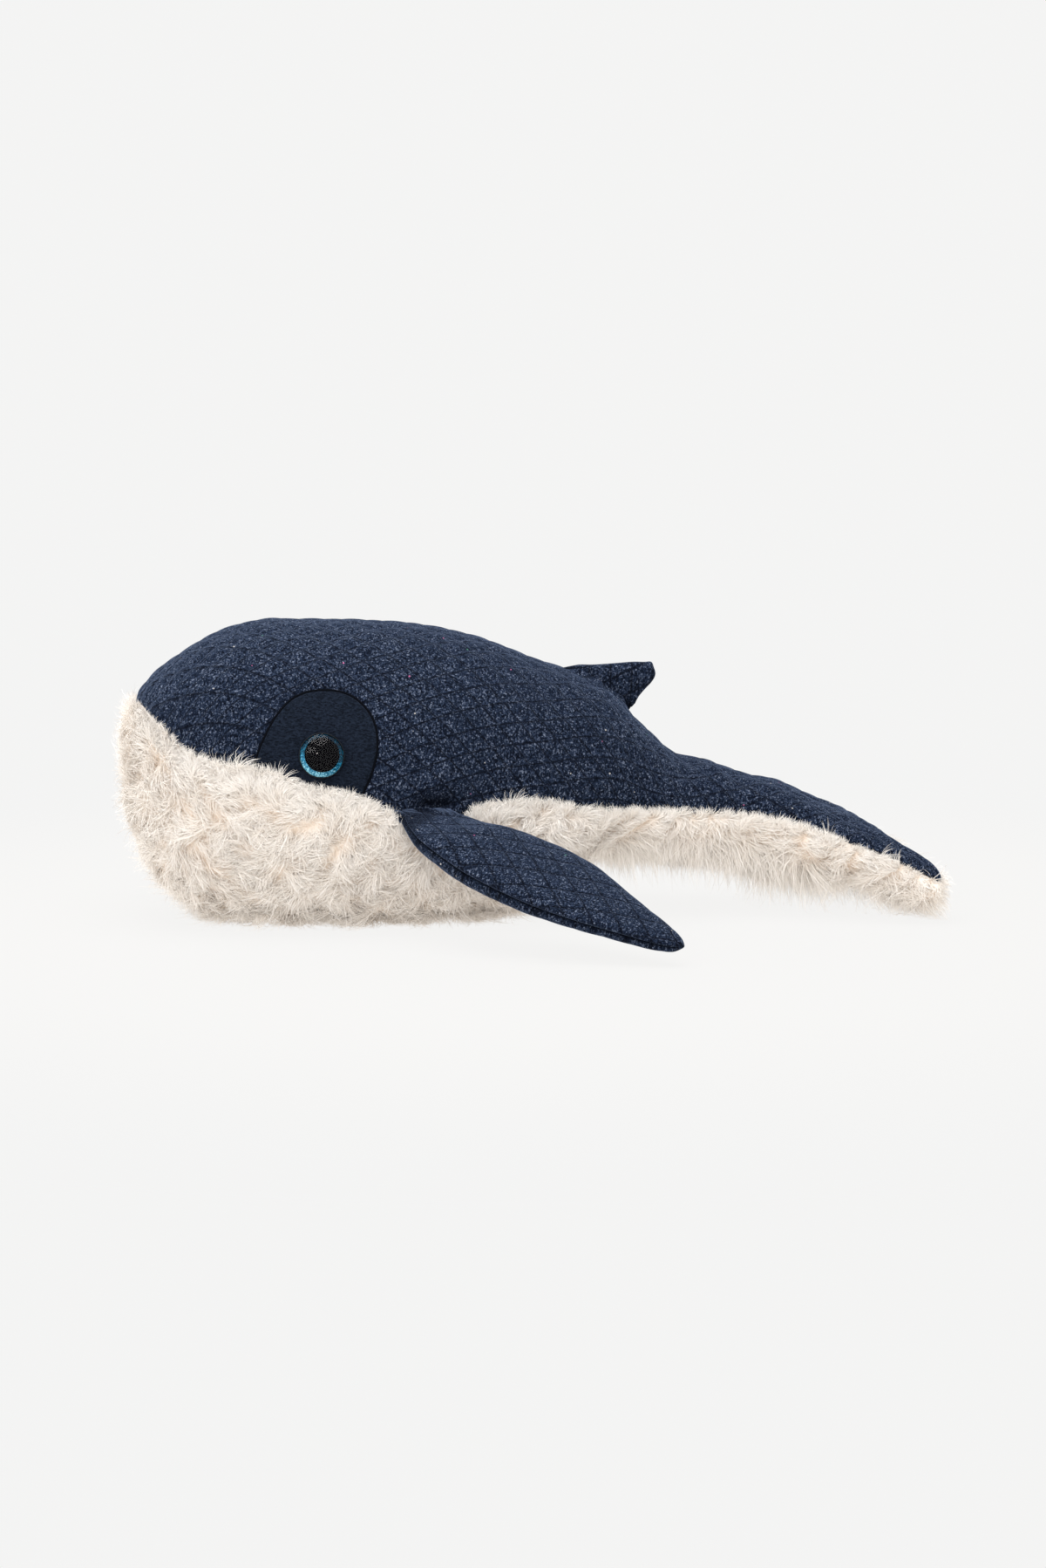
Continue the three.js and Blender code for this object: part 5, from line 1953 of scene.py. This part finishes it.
        # Paler on the clumps' crowns: painted light, which leaves painted shade in the crevices. The
        # wisp's chance number and the fringe add paleness too.
        tone = self.tone.at(at) + 0.55 * at.crown + 0.3 * (at.wisp[:, 2] - 0.5) + 0.35 * at.fringe
        tone = tone + rng.normal(0, 0.1, self.strands)
        return path, at.normal, np.clip(tone, 0, 1)

    def settle(self, path: Array) -> Array:
        """Keeps hairs over the floor, within reach of the nose and tail, and out of the fins' roots.

        Past a limit a distance decays towards a second limit and never reaches it.
        """
        path = path.copy()
        over = path[..., 2] - self.rest_height - self.press
        pressed = self.rest_height + self.press * np.exp(np.minimum(over, 0) / self.press)
        path[..., 2] = np.where(over < 0, pressed, path[..., 2])
        for end, reach in ((-1, self.reach), (1, self.tail_reach)):
            limit = CAD_BOX[1][0] + reach
            past = np.maximum(end * path[..., 0] - limit, 0)
            eased = limit + self.reach_more * (1 - np.exp(-past / self.reach_more))
            path[..., 0] = np.where(past > 0, end * eased, path[..., 0])
        out, sideways, up = PECTORAL.local(path)
        ribs = read_ribs(PECTORAL.ribs, np.linspace(0, len(PECTORAL.ribs) - 1, 200))
        order = np.maximum.accumulate((ribs[:, 0] + ribs[:, 2]) / 2)
        lead, trail, thick = (np.interp(out, order, ribs[:, k]) for k in (1, 3, 4))
        under, margin = -thick - self.fin_clearance, self.fin_margin
        inside = (out > -3 * margin) & (out < order[-1]) & (sideways < lead + margin)
        inside &= (sideways > trail - margin) & (up > under) & (up < self.fin_height)
        path = path + np.where(inside, under - up, 0)[..., None] * PECTORAL.up
        path[..., 2] = np.maximum(path[..., 2], self.rest_height)
        return path

    def build(self, zone: PileZone, bed: PileBed, hair: Finish) -> Piece:
        """One zone's hairs as tapered ribbons."""
        path, normal, tone = self.hairs(zone, bed)
        path = mirrored(self.settle(path), zone.side)
        piece = ribbons(zone.name, path, mirrored(normal, zone.side), tone, self.width, self.seed, hair)
        if zone.last > FORM.trunk_end - self.bent_ribs:
            bend_tail(piece)
        else:
            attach(piece, "body")
        return piece


def ribbons(name: str, path: Array, normal: Array, tone: Array, width: float, seed: int,
            finish: Finish) -> Piece:
    """Hairs as flat ribbons that taper to a point.

    Args:
        name: the piece's name.
        path: points along each hair, root first.
        normal: the skin's outward direction at each root.
        tone: each hair's tone, from 0 to 1.
        width: width at the root.
        seed: chooses how each ribbon is turned.
        finish: its material.

    Returns:
        The piece. Its pattern map holds the tone across and the way from root to tip.
    """
    count, steps, _ = path.shape
    rng = np.random.default_rng(seed)
    tangent = unit(np.gradient(path, axis=1))
    lean_spread, tone_edge = 0.55, 0.004
    lean = unit(normal[:, None] + rng.normal(0, lean_spread, (count, 1, 3)))
    across = unit(np.cross(tangent, lean))
    share = np.linspace(0, 1, steps)
    half = width / 2 * (1 - 0.75 * share**1.6) * rng.uniform(0.7, 1.35, (count, 1))
    left = path[:, :-1] - across[:, :-1] * half[:, :-1, None]
    right = path[:, :-1] + across[:, :-1] * half[:, :-1, None]
    points = np.concatenate([left, right, path[:, -1:]], 1)
    rows = steps - 1
    quads = np.array([[k, k + 1, rows + k + 1, rows + k] for k in range(rows - 1)])
    first = np.arange(count)[:, None, None] * (2 * rows + 1)
    tip = np.array([[rows - 1, 2 * rows, 2 * rows, 2 * rows - 1]])
    faces = (np.concatenate([quads, tip])[None] + first).reshape(-1, 4)
    triangles = np.concatenate([faces[:, [0, 1, 2]], faces[:, [0, 2, 3]]])
    triangles = triangles[triangles[:, 1] != triangles[:, 2]]
    way = np.concatenate([share[:-1], share[:-1], [1.0]])
    edge = np.concatenate([np.full(rows, -tone_edge), np.full(rows, tone_edge), [0.0]])
    pattern = np.stack(np.broadcast_arrays(
        np.clip(tone, 0.01, 0.99)[:, None] + edge, way), -1).reshape(-1, 2)
    return quick_mesh(name, points.reshape(-1, 3), triangles, pattern[triangles], finish)


@dataclass(frozen=True)
class Studio:
    """A plain pale floor, soft light and the photograph's view."""

    elevation: float = 7.5
    azimuth: float = -6.0
    distance: float = 2.0
    lens: float = 65.65
    target: tuple = (-6.5 * MM, 0.0, 90.5 * MM)
    floor_tone: tuple = (0.905, 0.905, 0.9)
    floor_colour: tuple = (0.93, 0.92, 0.9)
    shade_share: float = 0.11
    bounce_colour: tuple = (1.0, 0.945, 0.885)
    bounce_share: float = 0.6
    sky: tuple = (1.0, 0.985, 0.965)
    sky_strength: float = 0.75
    floor_reach: float = 6.0
    # Where the floor's own shade fades into the background's tone.
    shade_fade: tuple = (0.3, 0.75)
    # Each lamp's name, place, size and power.
    lamps: tuple = (
        ("top_softbox", (-0.25, -0.3, 1.5), (1.5, 1.3), 21),
        ("window_softbox", (-1.2, -1.25, 1.0), (1.1, 0.7), 7.5),
        ("small_lamp", (-0.5, -1.6, 0.7), (0.14, 0.14), 1.2),
    )
    lamp_target: tuple = (0, 0, 0.08)

    def camera(self) -> None:
        """The camera, aimed at the whale from the photograph's direction."""
        data = bpy.data.cameras.new("camera")
        data.lens = self.lens
        data.sensor_width = 36
        camera = linked("camera", data)
        a, e = math.radians(self.azimuth), math.radians(self.elevation)
        back = Vector((math.sin(a) * math.cos(e), -math.cos(a) * math.cos(e), math.sin(e)))
        camera.location = Vector(self.target) + back * self.distance
        camera.rotation_mode = "QUATERNION"
        camera.rotation_quaternion = (-back).to_track_quat("-Z", "Y")
        bpy.context.scene.camera = camera

    def lamp(self, name: str, place: tuple, size: tuple, power: float) -> None:
        """A rectangular lamp that faces the whale."""
        data = bpy.data.lights.new(name, "AREA")
        data.shape = "RECTANGLE"
        data.size, data.size_y = size
        data.energy = power
        lamp = linked(name, data)
        lamp.location = place
        lamp.rotation_mode = "QUATERNION"
        lamp.rotation_quaternion = (Vector(self.lamp_target) - Vector(place)).to_track_quat("-Z", "Y")

    def floor(self) -> None:
        """A wide floor: it takes soft shadows near the whale and is the background's tone beyond.

        To light that only falls on it, it is part plain and part a warm glow, which stands for the light
        that a pale sweep throws up at the pile.
        """
        nodes = Nodes("floor")
        plain = nodes.add("ShaderNodeBsdfDiffuse", {"Color": self.floor_colour})
        bounce, glow = (
            nodes.add("ShaderNodeEmission", {"Color": colour, "Strength": 1.0})
            for colour in (self.bounce_colour, self.floor_tone)
        )
        away = nodes.amount("ShaderNodeVectorMath", "Value", {0: nodes.place()}, operation="LENGTH")
        share = away.step(*self.shade_fade) * self.shade_share + (1 - self.shade_share)
        lit = nodes.blend(self.bounce_share, plain, bounce)
        finish = nodes.show(nodes.blend(nodes.seen() * share, lit, glow))
        edge = self.floor_reach
        corners = np.array([(-edge, -edge, 0), (edge, -edge, 0), (edge, edge, 0), (-edge, edge, 0)], float)
        quick_mesh("floor", corners, np.arange(4)[None], np.zeros((1, 4, 2)), finish)

    def world(self) -> None:
        """A pale surround: white to the camera, to mirrors and to glass, softer as light."""
        world = bpy.data.worlds.new("surround")
        bpy.context.scene.world = world
        nodes = Nodes("surround", world)
        light, seen = (
            nodes.add("ShaderNodeBackground", {"Color": colour, "Strength": strength})
            for colour, strength in ((self.sky, self.sky_strength), (self.floor_tone, 1.0))
        )
        nodes.show(nodes.blend(nodes.seen(), light, seen))

    def build(self) -> None:
        """Sets up the whole studio."""
        bpy.context.scene.view_settings.view_transform = "Standard"
        self.camera()
        self.floor()
        self.world()
        for lamp in self.lamps:
            self.lamp(*lamp)


def eye_finishes() -> dict[str, Finish]:
    """The eyes' four finishes, and the dark cord's finish, painted shade in the eye patch's groove."""
    return {
        "plastic": Plastic("black_plastic", (0.006, 0.007, 0.009), 0.45, gloss=0.2).build(),
        "pupil": Plastic("black_gloss", (0.001, 0.001, 0.0015), 0.5, 0.0, 0.0).build(),
        # The dark cord: painted shade in the eye patch's groove.
        "thread": Plastic("dark_thread", (0.002, 0.0028, 0.005), 0.9, 0.05 * MM, 0.05).build(),
        "glitter": Glitter().build(),
        "clear": ClearDome().build(),
    }


def main() -> None:
    """Builds the whale's pieces in order, then the studio."""
    logging.basicConfig(level=logging.INFO, format="%(name)s: %(message)s")
    quilted = QuiltedCloth().build()
    plain = PlainCloth().build()
    backing = PileBulk().build()
    hair = PileHair().build()
    eyes = eye_finishes()
    pieces = [Back().build(quilted)]
    for side in Side:
        # Each patch gets a dark cord in its groove as painted shade.
        pieces += [EyePatch().build(side, plain), EyePatch().seam(side, eyes["thread"])]
        Eye().build(side, eyes)
        fin = Fin(PECTORAL, f"{side.word}_fin", seam_turn=0.07, root_pinch=0.7, groove=2.8 * MM)
        start = f"pectoral_fin_{side.word}"
        pieces += fin.build(side, f"fin_panel_{side.word}", {
            Face.UPPER: (f"{start}_upper_panel", f"{start}_stuffing"),
            Face.LOWER: (f"{start}_lower_panel",),
        }, quilted)
        washer = frame["nodes"][f"eye_washer_{side.word}"]
        washer.data.materials.clear()
        washer.data.materials.append(eyes["plastic"])
    small = Fin(DORSAL, "back_fin", spacing=0.8 * MM, columns=45, groove=1.2 * MM, puff_share=0.2,
                root_depth=6 * MM, bend=8 * MM)
    pieces += small.build(Side.LEFT, "back_fin_panel", {
        Face.UPPER: ("dorsal_fin_right_panel", "dorsal_fin_stuffing"),
        Face.LOWER: ("dorsal_fin_left_panel",),
    }, quilted)
    beds = {side: BELLY.bed(side) for side in Side}
    pieces.append(BELLY.build(beds, backing))
    for side in Side:
        for word, first, last in PILE_ZONES:
            zone = PileZone(f"pile_{word}_{side.word}", first, last, side)
            pieces.append(Pile().build(zone, beds[side], hair))
    for piece in pieces:
        LOG.info("%s: %d faces", piece.name, len(piece.data.polygons))
    LOG.info("all: %d faces", sum(len(piece.data.polygons) for piece in pieces))
    Studio().build()


if __name__ == "__main__":
    main()
